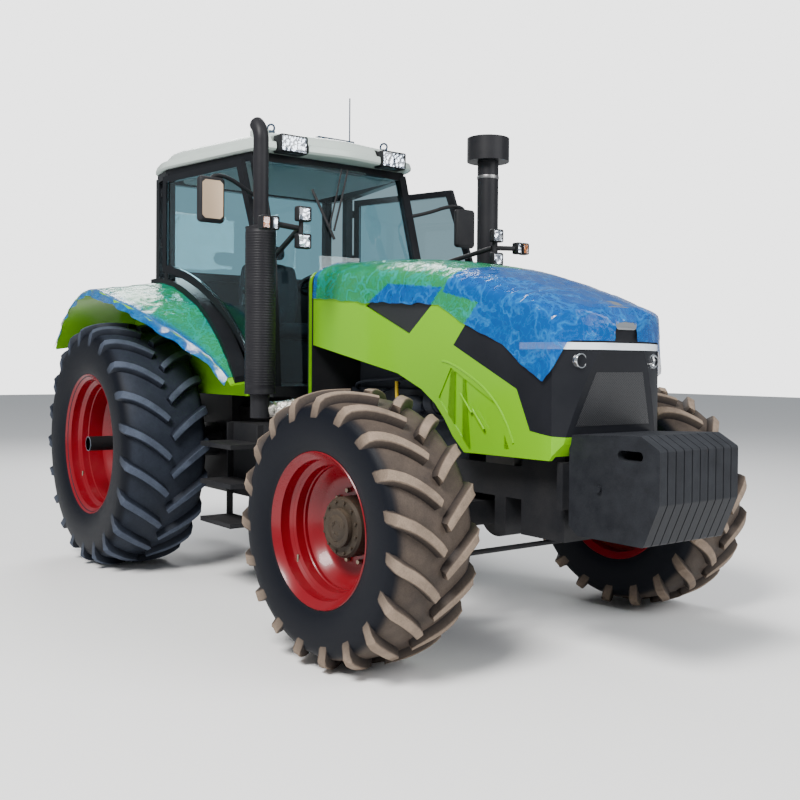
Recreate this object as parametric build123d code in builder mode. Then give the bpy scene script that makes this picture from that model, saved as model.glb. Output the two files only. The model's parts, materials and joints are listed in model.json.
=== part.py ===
"""Farm tractor of the 180 to 200 horsepower class, with cab, front weights and three-point hitch."""
from build123d import *
import math
import os

os.makedirs("parts", exist_ok=True)

# Lengths are in millimetres and angles in degrees. X points forward, Y to the driver's left and Z up.
# The origin is on the ground under the middle of the tractor. Places along the tractor are written
# as a distance ahead of the rear axle, which ahead() turns into X.

# Wheels and axles
wheelbase = 3100
front_track = 2146
rear_track = 2098
front_tyre_radius = 680
front_tyre_width = 500
front_rim_radius = 381
front_rim_width = 462
rear_tyre_radius = 885
rear_tyre_width = 605
rear_rim_radius = 508
rear_rim_width = 538
lug_height = 42
front_lugs_per_side = 19
rear_lugs_per_side = 21
steer_at_rest = 5
kingpin_spread = 1600
kingpin_radius = 32
steering_arm = 230
tie_rod_radius = 20
bar_axle_radius = 52
trumpet_radius = 130
trumpet_end = 800

# Gaps between parts that turn on each other, and between parts that only lie together
pin_gap = 0.05
seat_gap = 0.3

# Cab shell between the rear tyres
cab_low_half = 690
arch_rail = 40

# Cab, seen from above it narrows towards the windscreen
cab_floor_z = 1330
cab_top_z = 2870
rear_post_x = -60
rear_post_y = 740
hinge_post_x = 200
hinge_post_y = 780
screen_post_y = 600
screen_post_top_x = 1190
screen_post_mid_x = 1400
screen_post_mid_z = 2200
screen_post_low_x = 1470
screen_bulge = 150
post_size = 60
glass_thickness = 6
roof_thickness = 185
roof_front_x = 1330
roof_front_y = 640
roof_rear_x = -170
roof_rear_y = 820

# Doors, hung on the rear posts
door_open_left = 25
door_thickness = 36
door_rail = 48
door_low_z = 1400
door_top_z = cab_top_z - post_size / 2
door_gap = 8
hinge_pin_radius = 8
hinge_heights = (screen_post_mid_z + 130, cab_top_z - 170)
hinge_bracket = 12

# Bonnet
hood_rear_x = 1700
hood_front_x = 3930
hood_rear_z = 2150
hood_half_width = 450
hood_nose_half_width = 350
hood_wall = 12
hood_hinge_x = 1725
hood_hinge_z = 2080
hood_pin_radius = 10
jaw_inner_y = 315
jaw_cut_z = 1185

# Front weights
weight_count = 10
weight_pitch = 58
weight_thickness = 52
weight_rear_x = 3830
weight_front_x = 4385
weight_low_z = 660
weight_top_z = 1165

# Stacks beside the bonnet
stack_x = 1836
stack_y = 905
exhaust_radius = 58
exhaust_shield_radius = 93
intake_radius = 75
cap_radius = 150

# Rear hitch
link_pivot_x = -340
link_pivot_z = 460
link_length = 850
link_spread = 965
link_eye_radius = 45
link_ball_hole = 18.5
link_ball_width = 45
lift_arm_length = 400
rod_lean = -60
rod_height = 620
hitch_at_rest = 5
drawbar_z = 430
drawbar_pin_hole = 16.5
pto_z = 700
pto_radius = 22.2

hitch_reach = -link_pivot_x + link_length * math.cos(math.radians(hitch_at_rest)) + link_eye_radius
rear_axle_x = (hitch_reach - weight_front_x) / 2


def ahead(x):
    """X of a place that lies x ahead of the rear axle."""
    return rear_axle_x + x


def rod(start, end, radius):
    """A round bar between two points."""
    run = Vector(*end) - Vector(*start)
    with BuildPart() as piece:
        with BuildSketch(Plane(origin=start, z_dir=run)):
            Circle(radius)
        extrude(amount=run.length)
    return piece.part


def beam(start, end, width, depth, up=(0, 0, 1)):
    """A rectangular bar between two points: width lies across, depth lies towards up."""
    run = Vector(*end) - Vector(*start)
    across = run.cross(Vector(*up))
    with BuildPart() as piece:
        with BuildSketch(Plane(origin=start, x_dir=across, z_dir=run)):
            Rectangle(width, depth)
        extrude(amount=run.length)
    return piece.part


def slab(low, high):
    """A box between its lowest and highest corners."""
    size = [h - l for l, h in zip(low, high)]
    middle = [(l + h) / 2 for l, h in zip(low, high)]
    with BuildPart() as piece:
        with Locations(tuple(middle)):
            Box(*size)
    return piece.part


# Wheels
front_axle_x = ahead(wheelbase)
kingpin_to_wheel = (front_track - kingpin_spread) / 2


def turned(side, turn, forward, outward):
    """A step forward and outward on a wheel that is turned about the upright axis."""
    angle = math.radians(turn)
    fx = forward * math.cos(angle) - side * outward * math.sin(angle)
    fy = forward * math.sin(angle) + side * outward * math.cos(angle)
    return fx, fy


def front_hub(side):
    fx, fy = turned(side, steer_at_rest, 0, kingpin_to_wheel)
    return (front_axle_x + fx, side * kingpin_spread / 2 + fy, front_tyre_radius)


def rear_hub(side):
    return (ahead(0), side * rear_track / 2, rear_tyre_radius)


def build_tyre(hub, side, turn, radius, width, rim_radius, rim_width, lug_count):
    """A radial tyre with its lugs in two staggered rows whose inner ends lead."""
    angle = math.radians(turn)
    forward = Vector(math.cos(angle), math.sin(angle), 0)
    left = Vector(-math.sin(angle), math.cos(angle), 0)
    centre = Vector(*hub)
    profile = Plane(origin=centre, x_dir=forward, z_dir=(0, 0, side))
    base = radius - lug_height
    bead = rim_radius - 28
    heel = rim_width / 2 - 36
    belly = bead + (base - bead) * 0.55
    half = width / 2
    with BuildPart() as tyre:
        with BuildSketch(profile):
            with BuildLine():
                Polyline(
                    (bead, -heel), (belly, 8 - half), (base - 60, 24 - half), (base, 95 - half),
                    (base, half - 95), (base - 60, half - 24), (belly, half - 8), (bead, heel),
                    close=True,
                )
            make_face()
        revolve(axis=Axis(centre, left))
        pitch = 360 / lug_count
        slant = 0.36 * half
        foot = 0.62 * lug_height
        tip = math.sqrt(radius ** 2 - (slant + 1.3 * foot) ** 2)
        for row in (-1, 1):
            planes = []
            for index in range(lug_count):
                spot = math.radians(pitch * (index + 0.25 * row))
                out = forward * math.cos(spot) + Vector(0, 0, 1) * math.sin(spot)
                lead = left.cross(out)
                planes.append(Plane(origin=centre + out * (base - 48), x_dir=lead, z_dir=out))
            with BuildSketch(*planes):
                with BuildLine():
                    Polyline(
                        (slant + foot, row * 6),
                        (slant - foot, row * 6),
                        (-0.45 * slant - foot, row * half * 0.58),
                        (-slant - foot, row * half),
                        (-slant + foot * 1.3, row * half),
                        (-0.45 * slant + foot * 1.3, row * half * 0.58),
                        close=True,
                    )
                make_face()
            extrude(amount=tip - base + 48)
    return tyre.part


def build_rim(hub, side, turn, rim_radius, rim_width, disc_place, disc_bore):
    """A welded steel wheel: drop-centre rim with a pressed disc."""
    angle = math.radians(turn)
    left = Vector(-math.sin(angle), math.cos(angle), 0)
    profile = Plane(origin=hub, x_dir=(math.cos(angle), math.sin(angle), 0), z_dir=(0, 0, side))
    half = rim_width / 2
    seat = rim_radius - 28 - seat_gap
    with BuildPart() as rim:
        with BuildSketch(profile):
            with BuildLine():
                Polyline(
                    (rim_radius, half),
                    (rim_radius, half - 14),
                    (seat, half - 30),
                    (seat, 30 - half),
                    (rim_radius, 14 - half),
                    (rim_radius, -half),
                    (seat - 14, 16 - half),
                    (seat - 14, disc_place - 16),
                    (disc_bore, disc_place - 16),
                    (disc_bore, disc_place),
                    (seat - 44, disc_place),
                    (seat - 14, disc_place + 60),
                    (seat - 14, half - 16),
                    close=True,
                )
            make_face()
        revolve(axis=Axis(Vector(*hub), left))
    return rim.part


hub_bore = 150
hub_inner = -90
front_disc_place = -12
front_hub_face = 80
rear_disc_place = -60
rear_disc_bore = 120
bar_axle_end = 268

for side, word in ((1, "left"), (-1, "right")):
    hub = front_hub(side)
    front_tyre = build_tyre(hub, side, steer_at_rest, front_tyre_radius, front_tyre_width,
                            front_rim_radius, front_rim_width, front_lugs_per_side)
    front_tyre.label = f"front_{word}_tyre"
    export_step(front_tyre, f"parts/front_{word}_tyre.step")
    front_rim = build_rim(hub, side, steer_at_rest, front_rim_radius, front_rim_width,
                          front_disc_place, hub_bore + seat_gap)
    front_rim.label = f"front_{word}_rim"
    export_step(front_rim, f"parts/front_{word}_rim.step")
    ox, oy = turned(side, steer_at_rest, 0, 1)
    outboard = Vector(ox, oy, 0)
    hub_plane = Plane(origin=Vector(*hub) + outboard * hub_inner, z_dir=outboard)
    with BuildPart() as front_wheel_hub:
        with BuildSketch(hub_plane):
            Circle(hub_bore)
        extrude(amount=front_hub_face - hub_inner)
        with BuildSketch(hub_plane.offset(front_disc_place - 16 - 20 - hub_inner)):
            Circle(hub_bore + 50)
        extrude(amount=20)
        chamfer(front_wheel_hub.faces().sort_by(Axis(hub, outboard))[-1].edges(), 12)
        with BuildSketch(hub_plane.offset(front_hub_face - hub_inner)):
            Circle(95)
        extrude(amount=26)
    front_wheel_hub.part.label = f"front_{word}_hub"
    export_step(front_wheel_hub.part, f"parts/front_{word}_hub.step")

    hub = rear_hub(side)
    rear_tyre = build_tyre(hub, side, 0, rear_tyre_radius, rear_tyre_width, rear_rim_radius,
                           rear_rim_width, rear_lugs_per_side)
    rear_tyre.label = f"rear_{word}_tyre"
    export_step(rear_tyre, f"parts/rear_{word}_tyre.step")
    rear_rim = build_rim(hub, side, 0, rear_rim_radius, rear_rim_width, rear_disc_place,
                         rear_disc_bore)
    rear_rim.label = f"rear_{word}_rim"
    export_step(rear_rim, f"parts/rear_{word}_rim.step")
    hub_plane = Plane(origin=hub, z_dir=(0, side, 0))
    with BuildPart() as rear_wheel_hub:
        with BuildSketch(hub_plane.offset(rear_disc_place)):
            Circle(rear_disc_bore + 70)
        extrude(amount=28)
        with BuildSketch(hub_plane.offset(rear_disc_place - 60)):
            Circle(rear_disc_bore - 5)
        extrude(amount=150)
        with BuildSketch(hub_plane.offset(trumpet_end - 60 - rear_track / 2)):
            Circle(bar_axle_radius)
        extrude(amount=bar_axle_end - (trumpet_end - 60 - rear_track / 2))
    rear_wheel_hub.part.label = f"rear_{word}_hub"
    export_step(rear_wheel_hub.part, f"parts/rear_{word}_hub.step")

# Steering knuckles on their kingpins, with forward steering arms and one tie rod
fork_reach = 88
fork_half_height = 150
ear_thickness = 50
eye_radius = 80
eye_half_height = fork_half_height - ear_thickness - 5
stud_radius = 14
arm_low = front_tyre_radius - fork_half_height


def ball_place(side):
    fx, fy = turned(side, steer_at_rest, steering_arm, 0)
    return front_axle_x + fx, side * kingpin_spread / 2 + fy


for side, word in ((1, "left"), (-1, "right")):
    pin = Vector(front_axle_x, side * kingpin_spread / 2, front_tyre_radius)
    ox, oy = turned(side, steer_at_rest, 0, 1)
    outboard = Vector(ox, oy, 0)
    fx, fy = turned(side, steer_at_rest, 1, 0)
    facing = Plane(origin=pin, x_dir=(fx, fy, 0), z_dir=(0, 0, 1))
    out_sign = side
    ball_x, ball_y = ball_place(side)
    with BuildPart() as knuckle:
        for low in (-fork_half_height, fork_half_height - ear_thickness):
            with BuildSketch(facing.offset(low)):
                Circle(eye_radius)
                with Locations((0, out_sign * (fork_reach + 27) / 2)):
                    Rectangle(2 * eye_radius, fork_reach + 27)
            extrude(amount=ear_thickness)
        with BuildSketch(facing.offset(-fork_half_height)):
            with Locations((0, out_sign * (fork_reach + 13))):
                Rectangle(2 * eye_radius, 26)
        extrude(amount=2 * fork_half_height)
        with BuildSketch(Plane(origin=pin + outboard * fork_reach, z_dir=outboard)):
            Circle(110)
        extrude(amount=kingpin_to_wheel + hub_inner - seat_gap - fork_reach)
        with BuildSketch(facing.offset(-fork_half_height)):
            Circle(kingpin_radius)
        extrude(amount=2 * fork_half_height)
        with BuildSketch(facing.offset(-fork_half_height)):
            with Locations((steering_arm / 2, 0)):
                Rectangle(steering_arm, 60)
            with Locations((steering_arm, 0)):
                Circle(34)
        extrude(amount=30)
        with BuildSketch(Plane.XY.offset(arm_low - 40)):
            with Locations((ball_x, ball_y)):
                Circle(stud_radius)
        extrude(amount=45)
    knuckle.part.label = f"{word}_knuckle"
    export_step(knuckle.part, f"parts/{word}_knuckle.step")

rod_z = arm_low - 18
with BuildPart() as tie_rod:
    right_x, right_y = ball_place(-1)
    left_x, left_y = ball_place(1)
    add(rod((right_x, right_y, rod_z), (left_x, left_y, rod_z), tie_rod_radius - 6))
    with BuildSketch(Plane.XY.offset(rod_z - 15)):
        with Locations((right_x, right_y), (left_x, left_y)):
            Circle(32)
    extrude(amount=30)
    with BuildSketch(Plane.XY.offset(rod_z - 16)):
        with Locations((right_x, right_y), (left_x, left_y)):
            Circle(stud_radius + seat_gap)
    extrude(amount=32, mode=Mode.SUBTRACT)
tie_rod.part.label = "tie_rod"
export_step(tie_rod.part, "parts/tie_rod.step")

# Driven front axle: beam, differential housing and the two trunnions that it rocks on
trunnion_radius = 60
trunnion_half = 270
with BuildPart() as front_axle:
    beam_end = kingpin_spread / 2
    add(beam((front_axle_x, -beam_end, front_tyre_radius), (front_axle_x, beam_end, front_tyre_radius),
             110, 130))
    with BuildSketch(Plane(origin=(front_axle_x, 60, front_tyre_radius), z_dir=(0, 1, 0))):
        Circle(150)
    extrude(amount=165, both=True)
    add(rod((front_axle_x - trunnion_half, 0, front_tyre_radius),
            (front_axle_x + trunnion_half, 0, front_tyre_radius), trunnion_radius))
    for side in (-1, 1):
        with BuildSketch(Plane(origin=(front_axle_x, side * beam_end,
                                       front_tyre_radius - eye_half_height), z_dir=(0, 0, 1))):
            Circle(eye_radius)
        extrude(amount=2 * eye_half_height)
    for side in (-1, 1):
        with BuildSketch(Plane(origin=(front_axle_x, side * beam_end, 0), z_dir=(0, 0, 1))):
            Circle(kingpin_radius + pin_gap)
        extrude(amount=2 * front_tyre_radius, mode=Mode.SUBTRACT)
front_axle.part.label = "front_axle"
export_step(front_axle.part, "parts/front_axle.step")

# Front frame: two rails, the cast bolster that carries the axle and the weights
rail_inner = 235
rail_outer = 275
rail_low = 790
rail_top = 960
frame_front = 3790
engine_half = 190
with BuildPart() as front_frame:
    for side in (-1, 1):
        low_y, high_y = sorted((side * rail_inner, side * rail_outer))
        add(slab((ahead(1850), low_y, rail_low), (ahead(frame_front), high_y, rail_top)))
        low_y, high_y = sorted((side * engine_half, side * (rail_inner + 5)))
        for mount_x in (1900, 2600):
            add(slab((ahead(mount_x), low_y, 885), (ahead(mount_x + 90), high_y, rail_top - 5)))
    for start, end in ((wheelbase - 260, wheelbase - 175), (wheelbase + 175, wheelbase + 260)):
        add(slab((ahead(start), -rail_outer, 590), (ahead(end), rail_outer, 860)))
    add(slab((ahead(3480), -rail_outer, 610), (ahead(frame_front), rail_outer, 1040)))
    add(slab((ahead(frame_front), -330, 780), (ahead(weight_rear_x), 330, 1010)))
    with BuildSketch(Plane(origin=(front_axle_x - 300, 0, front_tyre_radius), z_dir=(1, 0, 0))):
        Circle(trunnion_radius + pin_gap)
    extrude(amount=600, mode=Mode.SUBTRACT)
front_frame.part.label = "front_frame"
export_step(front_frame.part, "parts/front_frame.step")

# Front weights: slabs with a handle slot, hung on the carrier and clamped by one through bolt
with BuildPart() as front_weights:
    first = -(weight_count - 1) / 2 * weight_pitch
    for index in range(weight_count):
        place = first + index * weight_pitch
        with BuildSketch(Plane(origin=(0, place - weight_thickness / 2, 0), x_dir=(1, 0, 0),
                               z_dir=(0, -1, 0))):
            with BuildLine():
                FilletPolyline(
                    (ahead(weight_rear_x), weight_low_z + 40),
                    (ahead(weight_rear_x) + 60, weight_low_z),
                    (ahead(weight_front_x) - 90, weight_low_z),
                    (ahead(weight_front_x), weight_low_z + 200),
                    (ahead(weight_front_x), weight_top_z - 60),
                    (ahead(weight_front_x) - 110, weight_top_z),
                    (ahead(weight_rear_x), weight_top_z - 20),
                    close=True,
                    radius=18,
                )
            make_face()
            with Locations((ahead(weight_front_x) - 170, weight_top_z - 95)):
                SlotOverall(150, 46, mode=Mode.SUBTRACT)
        extrude(amount=-weight_thickness)
    span = weight_count * weight_pitch / 2
    add(rod((ahead(weight_rear_x) + 200, -span - 12, 900), (ahead(weight_rear_x) + 200, span + 12, 900),
            16))
front_weights.part.label = "front_weights"
export_step(front_weights.part, "parts/front_weights.step")

# Engine as one plain block with its head, sump and front drive
with BuildPart() as engine:
    add(slab((ahead(1760), -engine_half, 880), (ahead(2960), engine_half, 1330)))
    add(slab((ahead(1800), -150, 1330), (ahead(2900), 150, 1560)))
    add(slab((ahead(1850), -180, 720), (ahead(2780), 180, 880)))
    with BuildSketch(Plane(origin=(ahead(2960), 0, 1020), z_dir=(1, 0, 0))):
        Circle(120)
    extrude(amount=60)
engine.part.label = "engine"
export_step(engine.part, "parts/engine.step")

# Cooling pack behind the nose
with BuildPart() as radiator:
    add(slab((ahead(3200), -300, 1045), (ahead(3420), 300, 1600)))
    add(slab((ahead(3200), -rail_outer, rail_top), (ahead(3420), rail_outer, 1045)))
radiator.part.label = "radiator"
export_step(radiator.part, "parts/radiator.step")

# Gearbox, rear axle housing and the axle trumpets
housing_rear = -330
gearbox_half = 230
with BuildPart() as drivetrain:
    add(slab((ahead(1000), -gearbox_half, 620), (ahead(1760), gearbox_half, 1180)))
    add(slab((ahead(300), -260, 560), (ahead(1000), 260, 1150)))
    add(slab((ahead(housing_rear), -320, 560), (ahead(300), 320, 1250)))
    add(rod((ahead(0), -trumpet_end, rear_tyre_radius), (ahead(0), trumpet_end, rear_tyre_radius),
            trumpet_radius))
    for side in (-1, 1):
        with BuildSketch(Plane(origin=(ahead(0), side * trumpet_end, rear_tyre_radius),
                               z_dir=(0, -side, 0))):
            Circle(bar_axle_radius + pin_gap)
        extrude(amount=60 + seat_gap, mode=Mode.SUBTRACT)
        for height in (link_pivot_z + rod_height,):
            boss_x = ahead(link_pivot_x + rod_lean)
            low_y, high_y = sorted((side * 220, side * 270))
            add(slab((boss_x - 55, low_y, height - 60), (ahead(housing_rear), high_y, height + 60)))
        inner = link_spread / 2 - 15 - 22
        low_y, high_y = sorted((side * (inner - 22), side * inner))
        with BuildSketch(Plane(origin=(0, low_y, 0), x_dir=(1, 0, 0), z_dir=(0, -1, 0))):
            with BuildLine():
                Polyline(
                    (ahead(-120), rear_tyre_radius - 60),
                    (ahead(120), rear_tyre_radius - 60),
                    (ahead(link_pivot_x) + 60, link_pivot_z - 50),
                    (ahead(link_pivot_x) - 50, link_pivot_z - 50),
                    (ahead(link_pivot_x) - 50, link_pivot_z + 50),
                    close=True,
                )
            make_face()
        extrude(amount=-22)
    with BuildSketch(Plane(origin=(ahead(link_pivot_x + rod_lean), -300, link_pivot_z + rod_height),
                           z_dir=(0, 1, 0))):
        Circle(38 + pin_gap)
    extrude(amount=600, mode=Mode.SUBTRACT)
    for side in (-1, 1):
        pin_start = side * (link_spread / 2 - 60)
        pin_end = side * (link_spread / 2 + 20)
        add(rod((ahead(link_pivot_x), pin_start, link_pivot_z),
                (ahead(link_pivot_x), pin_end, link_pivot_z), 18))
    with BuildSketch(Plane(origin=(ahead(housing_rear) + 30, 0, pto_z), z_dir=(-1, 0, 0))):
        Circle(pto_radius + 12)
    extrude(amount=60, mode=Mode.SUBTRACT)
drivetrain.part.label = "drivetrain"
export_step(drivetrain.part, "parts/drivetrain.step")

# Power take-off stub shaft
with BuildPart() as pto_shaft:
    add(rod((ahead(housing_rear) + 30 - seat_gap, 0, pto_z), (ahead(housing_rear) - 110, 0, pto_z),
            pto_radius))
pto_shaft.part.label = "pto_shaft"
export_step(pto_shaft.part, "parts/pto_shaft.step")

# Swinging drawbar under the housing
with BuildPart() as drawbar:
    add(slab((ahead(-820), -45, drawbar_z - 20), (ahead(150), 45, drawbar_z + 20)))
    add(slab((ahead(-300), -120, drawbar_z + 20), (ahead(-200), 120, 560)))
    add(slab((ahead(60), -120, drawbar_z + 20), (ahead(150), 120, 560)))
    with BuildSketch(Plane.XY.offset(drawbar_z - 30)):
        with Locations((ahead(-770), 0)):
            Circle(drawbar_pin_hole)
    extrude(amount=60, mode=Mode.SUBTRACT)
drawbar.part.label = "drawbar"
export_step(drawbar.part, "parts/drawbar.step")

# Three-point hitch: lower links, rockshaft with lift arms, and the lift rods between them
lift = math.radians(hitch_at_rest)
link_x = -math.cos(lift)
link_z = math.sin(lift)
pivot_low = (ahead(link_pivot_x), link_pivot_z)
pivot_high = (ahead(link_pivot_x + rod_lean), link_pivot_z + rod_height)


def along(pivot, distance):
    return pivot[0] + distance * link_x, pivot[1] + distance * link_z


link_plane_y = link_spread / 2
rod_plane_y = link_plane_y - 36
arm_plane_y = rod_plane_y - 36
link_thickness = 30
with BuildPart() as lower_links:
    for side in (-1, 1):
        near_x, near_z = along(pivot_low, 0)
        far_x, far_z = along(pivot_low, link_length)
        add(beam((near_x, side * link_plane_y, near_z), (far_x, side * link_plane_y, far_z),
                 link_thickness, 70))
        for spot_x, spot_z, width in ((near_x, near_z, link_thickness), (far_x, far_z, link_ball_width)):
            add(rod((spot_x, side * link_plane_y - width / 2, spot_z),
                    (spot_x, side * link_plane_y + width / 2, spot_z), link_eye_radius))
        pin_x, pin_z = along(pivot_low, lift_arm_length)
        add(rod((pin_x, side * (rod_plane_y - 22), pin_z), (pin_x, side * link_plane_y, pin_z), 14))
    for side in (-1, 1):
        for distance, hole in ((0, 18 + pin_gap), (link_length, link_ball_hole)):
            spot_x, spot_z = along(pivot_low, distance)
            with BuildSketch(Plane(origin=(spot_x, side * (link_plane_y + 30), spot_z),
                                   z_dir=(0, -side, 0))):
                Circle(hole)
            extrude(amount=60, mode=Mode.SUBTRACT)
lower_links.part.label = "lower_links"
export_step(lower_links.part, "parts/lower_links.step")

with BuildPart() as lift_arms:
    add(rod((pivot_high[0], -arm_plane_y - 18, pivot_high[1]),
            (pivot_high[0], arm_plane_y + 18, pivot_high[1]), 38))
    tip_x, tip_z = along(pivot_high, lift_arm_length)
    for side in (-1, 1):
        add(beam((pivot_high[0], side * arm_plane_y, pivot_high[1]), (tip_x, side * arm_plane_y, tip_z),
                 link_thickness, 80))
        for spot_x, spot_z, size in ((pivot_high[0], pivot_high[1], 60), (tip_x, tip_z, 40)):
            add(rod((spot_x, side * arm_plane_y - link_thickness / 2, spot_z),
                    (spot_x, side * arm_plane_y + link_thickness / 2, spot_z), size))
        add(rod((tip_x, side * arm_plane_y, tip_z), (tip_x, side * (rod_plane_y + 24), tip_z), 14))
lift_arms.part.label = "lift_arms"
export_step(lift_arms.part, "parts/lift_arms.step")

with BuildPart() as lift_rods:
    low_x, low_z = along(pivot_low, lift_arm_length)
    top_x, top_z = along(pivot_high, lift_arm_length)
    for side in (-1, 1):
        add(rod((low_x, side * rod_plane_y, low_z), (top_x, side * rod_plane_y, top_z), 13))
        for spot_x, spot_z in ((low_x, low_z), (top_x, top_z)):
            add(rod((spot_x, side * rod_plane_y - 15, spot_z), (spot_x, side * rod_plane_y + 15, spot_z),
                    32))
    for side in (-1, 1):
        for spot_x, spot_z in ((low_x, low_z), (top_x, top_z)):
            with BuildSketch(Plane(origin=(spot_x, side * (rod_plane_y + 20), spot_z),
                                   z_dir=(0, -side, 0))):
                Circle(14 + pin_gap)
            extrude(amount=40, mode=Mode.SUBTRACT)
lift_rods.part.label = "lift_rods"
export_step(lift_rods.part, "parts/lift_rods.step")

# Fuel tank on the left and battery box on the right, between the wheels under the cab
tank_inner = 330
tank_outer = 700
with BuildPart() as side_tanks:
    for side in (-1, 1):
        low_y, high_y = sorted((side * tank_inner, side * tank_outer))
        with BuildSketch(Plane(origin=(0, low_y, 0), x_dir=(1, 0, 0), z_dir=(0, -1, 0))):
            with BuildLine():
                Polyline(
                    (ahead(1020), 600), (ahead(1950), 600), (ahead(2060), 720), (ahead(2060), 1080),
                    (ahead(1020), 1080), close=True,
                )
            make_face()
        extrude(amount=-(high_y - low_y))
        low_y, high_y = sorted((side * gearbox_half, side * tank_inner))
        add(slab((ahead(1200), low_y, 800), (ahead(1300), high_y, 860)))
        add(slab((ahead(1600), low_y, 800), (ahead(1700), high_y, 860)))
side_tanks.part.label = "side_tanks"
export_step(side_tanks.part, "parts/side_tanks.step")

# Steps up to the doors
with BuildPart() as steps:
    for side in (-1, 1):
        for x in (1060, 1480):
            low_y, high_y = sorted((side * (tank_outer + seat_gap), side * (tank_outer + 40)))
            add(slab((ahead(x), low_y, 420), (ahead(x + 20), high_y, 1080)))
        for height in (430, 680, 930):
            low_y, high_y = sorted((side * (tank_outer + seat_gap), side * (tank_outer + 230)))
            add(slab((ahead(1060), low_y, height), (ahead(1500), high_y, height + 30)))
steps.part.label = "steps"
export_step(steps.part, "parts/steps.step")

# Cab floor
with BuildPart() as cab_floor:
    with BuildSketch(Plane.XY.offset(cab_floor_z - 70)):
        with BuildLine():
            Polyline(
                (ahead(rear_post_x), -cab_low_half), (ahead(900), -cab_low_half),
                (ahead(screen_post_low_x) + post_size / 2, -screen_post_y - post_size / 2),
                (ahead(screen_post_low_x) + post_size / 2, screen_post_y + post_size / 2),
                (ahead(900), cab_low_half), (ahead(rear_post_x), cab_low_half), close=True,
            )
        make_face()
    extrude(amount=70)
    add(slab((ahead(-40), -320, 1250), (ahead(250), 320, cab_floor_z - 70)))
    for side in (-1, 1):
        low_y, high_y = sorted((side * 180, side * 300))
        add(slab((ahead(1150), low_y, 1180), (ahead(1300), high_y, cab_floor_z - 70)))
cab_floor.part.label = "cab_floor"
export_step(cab_floor.part, "parts/cab_floor.step")

# Rear fenders: rolled top sheet over the tyre and the upright wall that closes the cab side
fender_outer = 1300
fender_wall = 14
fender_foot = (1310, 1365)
fender_crest = (60, 2085)
fender_tail = (-800, 1680)
fender_slope = 0.15
fender_start_y = cab_low_half + seat_gap


def fender_line(lift_by):
    """The side view of a fender, from its front foot over the crest to its tail."""
    front = ThreePointArc((ahead(fender_foot[0]), fender_foot[1] + lift_by),
                          (ahead(790) + lift_by * 0.6, 1845 + lift_by),
                          (ahead(fender_crest[0]), fender_crest[1] + lift_by))
    back = ThreePointArc((ahead(fender_crest[0]), fender_crest[1] + lift_by),
                         (ahead(-400) - lift_by * 0.4, 2010 + lift_by),
                         (ahead(fender_tail[0]) - lift_by, fender_tail[1] + lift_by))
    return front, back


with BuildPart() as rear_fenders:
    for side in (-1, 1):
        with BuildSketch(Plane(origin=(0, side * fender_start_y, 0), x_dir=(1, 0, 0),
                               z_dir=(0, -1, 0))):
            with BuildLine():
                under_front, under_back = fender_line(-fender_wall)
                over_front, over_back = fender_line(0)
                Line(under_front @ 0, over_front @ 0)
                Line(under_back @ 1, over_back @ 1)
            make_face()
        extrude(amount=math.hypot(1, fender_slope) * (fender_outer - fender_start_y),
                dir=(0, side, -fender_slope))
    for side in (-1, 1):
        with BuildSketch(Plane.XY.offset(1200)):
            with BuildLine():
                Polyline(
                    (ahead(1400), side * 800), (ahead(1250), side * 860), (ahead(800), side * 1180),
                    (ahead(450), side * (fender_outer + 5)), (ahead(1400), side * (fender_outer + 5)),
                    close=True,
                )
            make_face()
        extrude(amount=1000, mode=Mode.SUBTRACT)
    for side in (-1, 1):
        low_y, high_y = sorted((side * (cab_low_half + seat_gap), side * (cab_low_half + fender_wall)))
        with BuildSketch(Plane(origin=(0, high_y, 0), x_dir=(1, 0, 0), z_dir=(0, -1, 0))):
            with BuildLine():
                top_front, top_back = fender_line(-2)
                Polyline(top_front @ 0, (ahead(1290), 1262), (ahead(-100), 1262), (ahead(-500), 1500),
                         top_back @ 1)
            make_face()
        extrude(amount=high_y - low_y)
rear_fenders.part.label = "rear_fenders"
export_step(rear_fenders.part, "parts/rear_fenders.step")


def side_points(side):
    """Feet and tops of the posts on one side: rear, hinge and screen post with its bend."""
    return (
        ((ahead(rear_post_x), side * rear_post_y, fender_crest[1]),
         (ahead(rear_post_x), side * rear_post_y, cab_top_z)),
        ((ahead(hinge_post_x), side * hinge_post_y, fender_crest[1]),
         (ahead(hinge_post_x), side * hinge_post_y, cab_top_z)),
        ((ahead(screen_post_low_x), side * screen_post_y, cab_floor_z),
         (ahead(screen_post_mid_x), side * screen_post_y, screen_post_mid_z)),
        ((ahead(screen_post_mid_x), side * screen_post_y, screen_post_mid_z),
         (ahead(screen_post_top_x), side * screen_post_y, cab_top_z)),
    )


door_line_y = hinge_post_y + post_size / 2 + door_gap + door_thickness / 2

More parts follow.
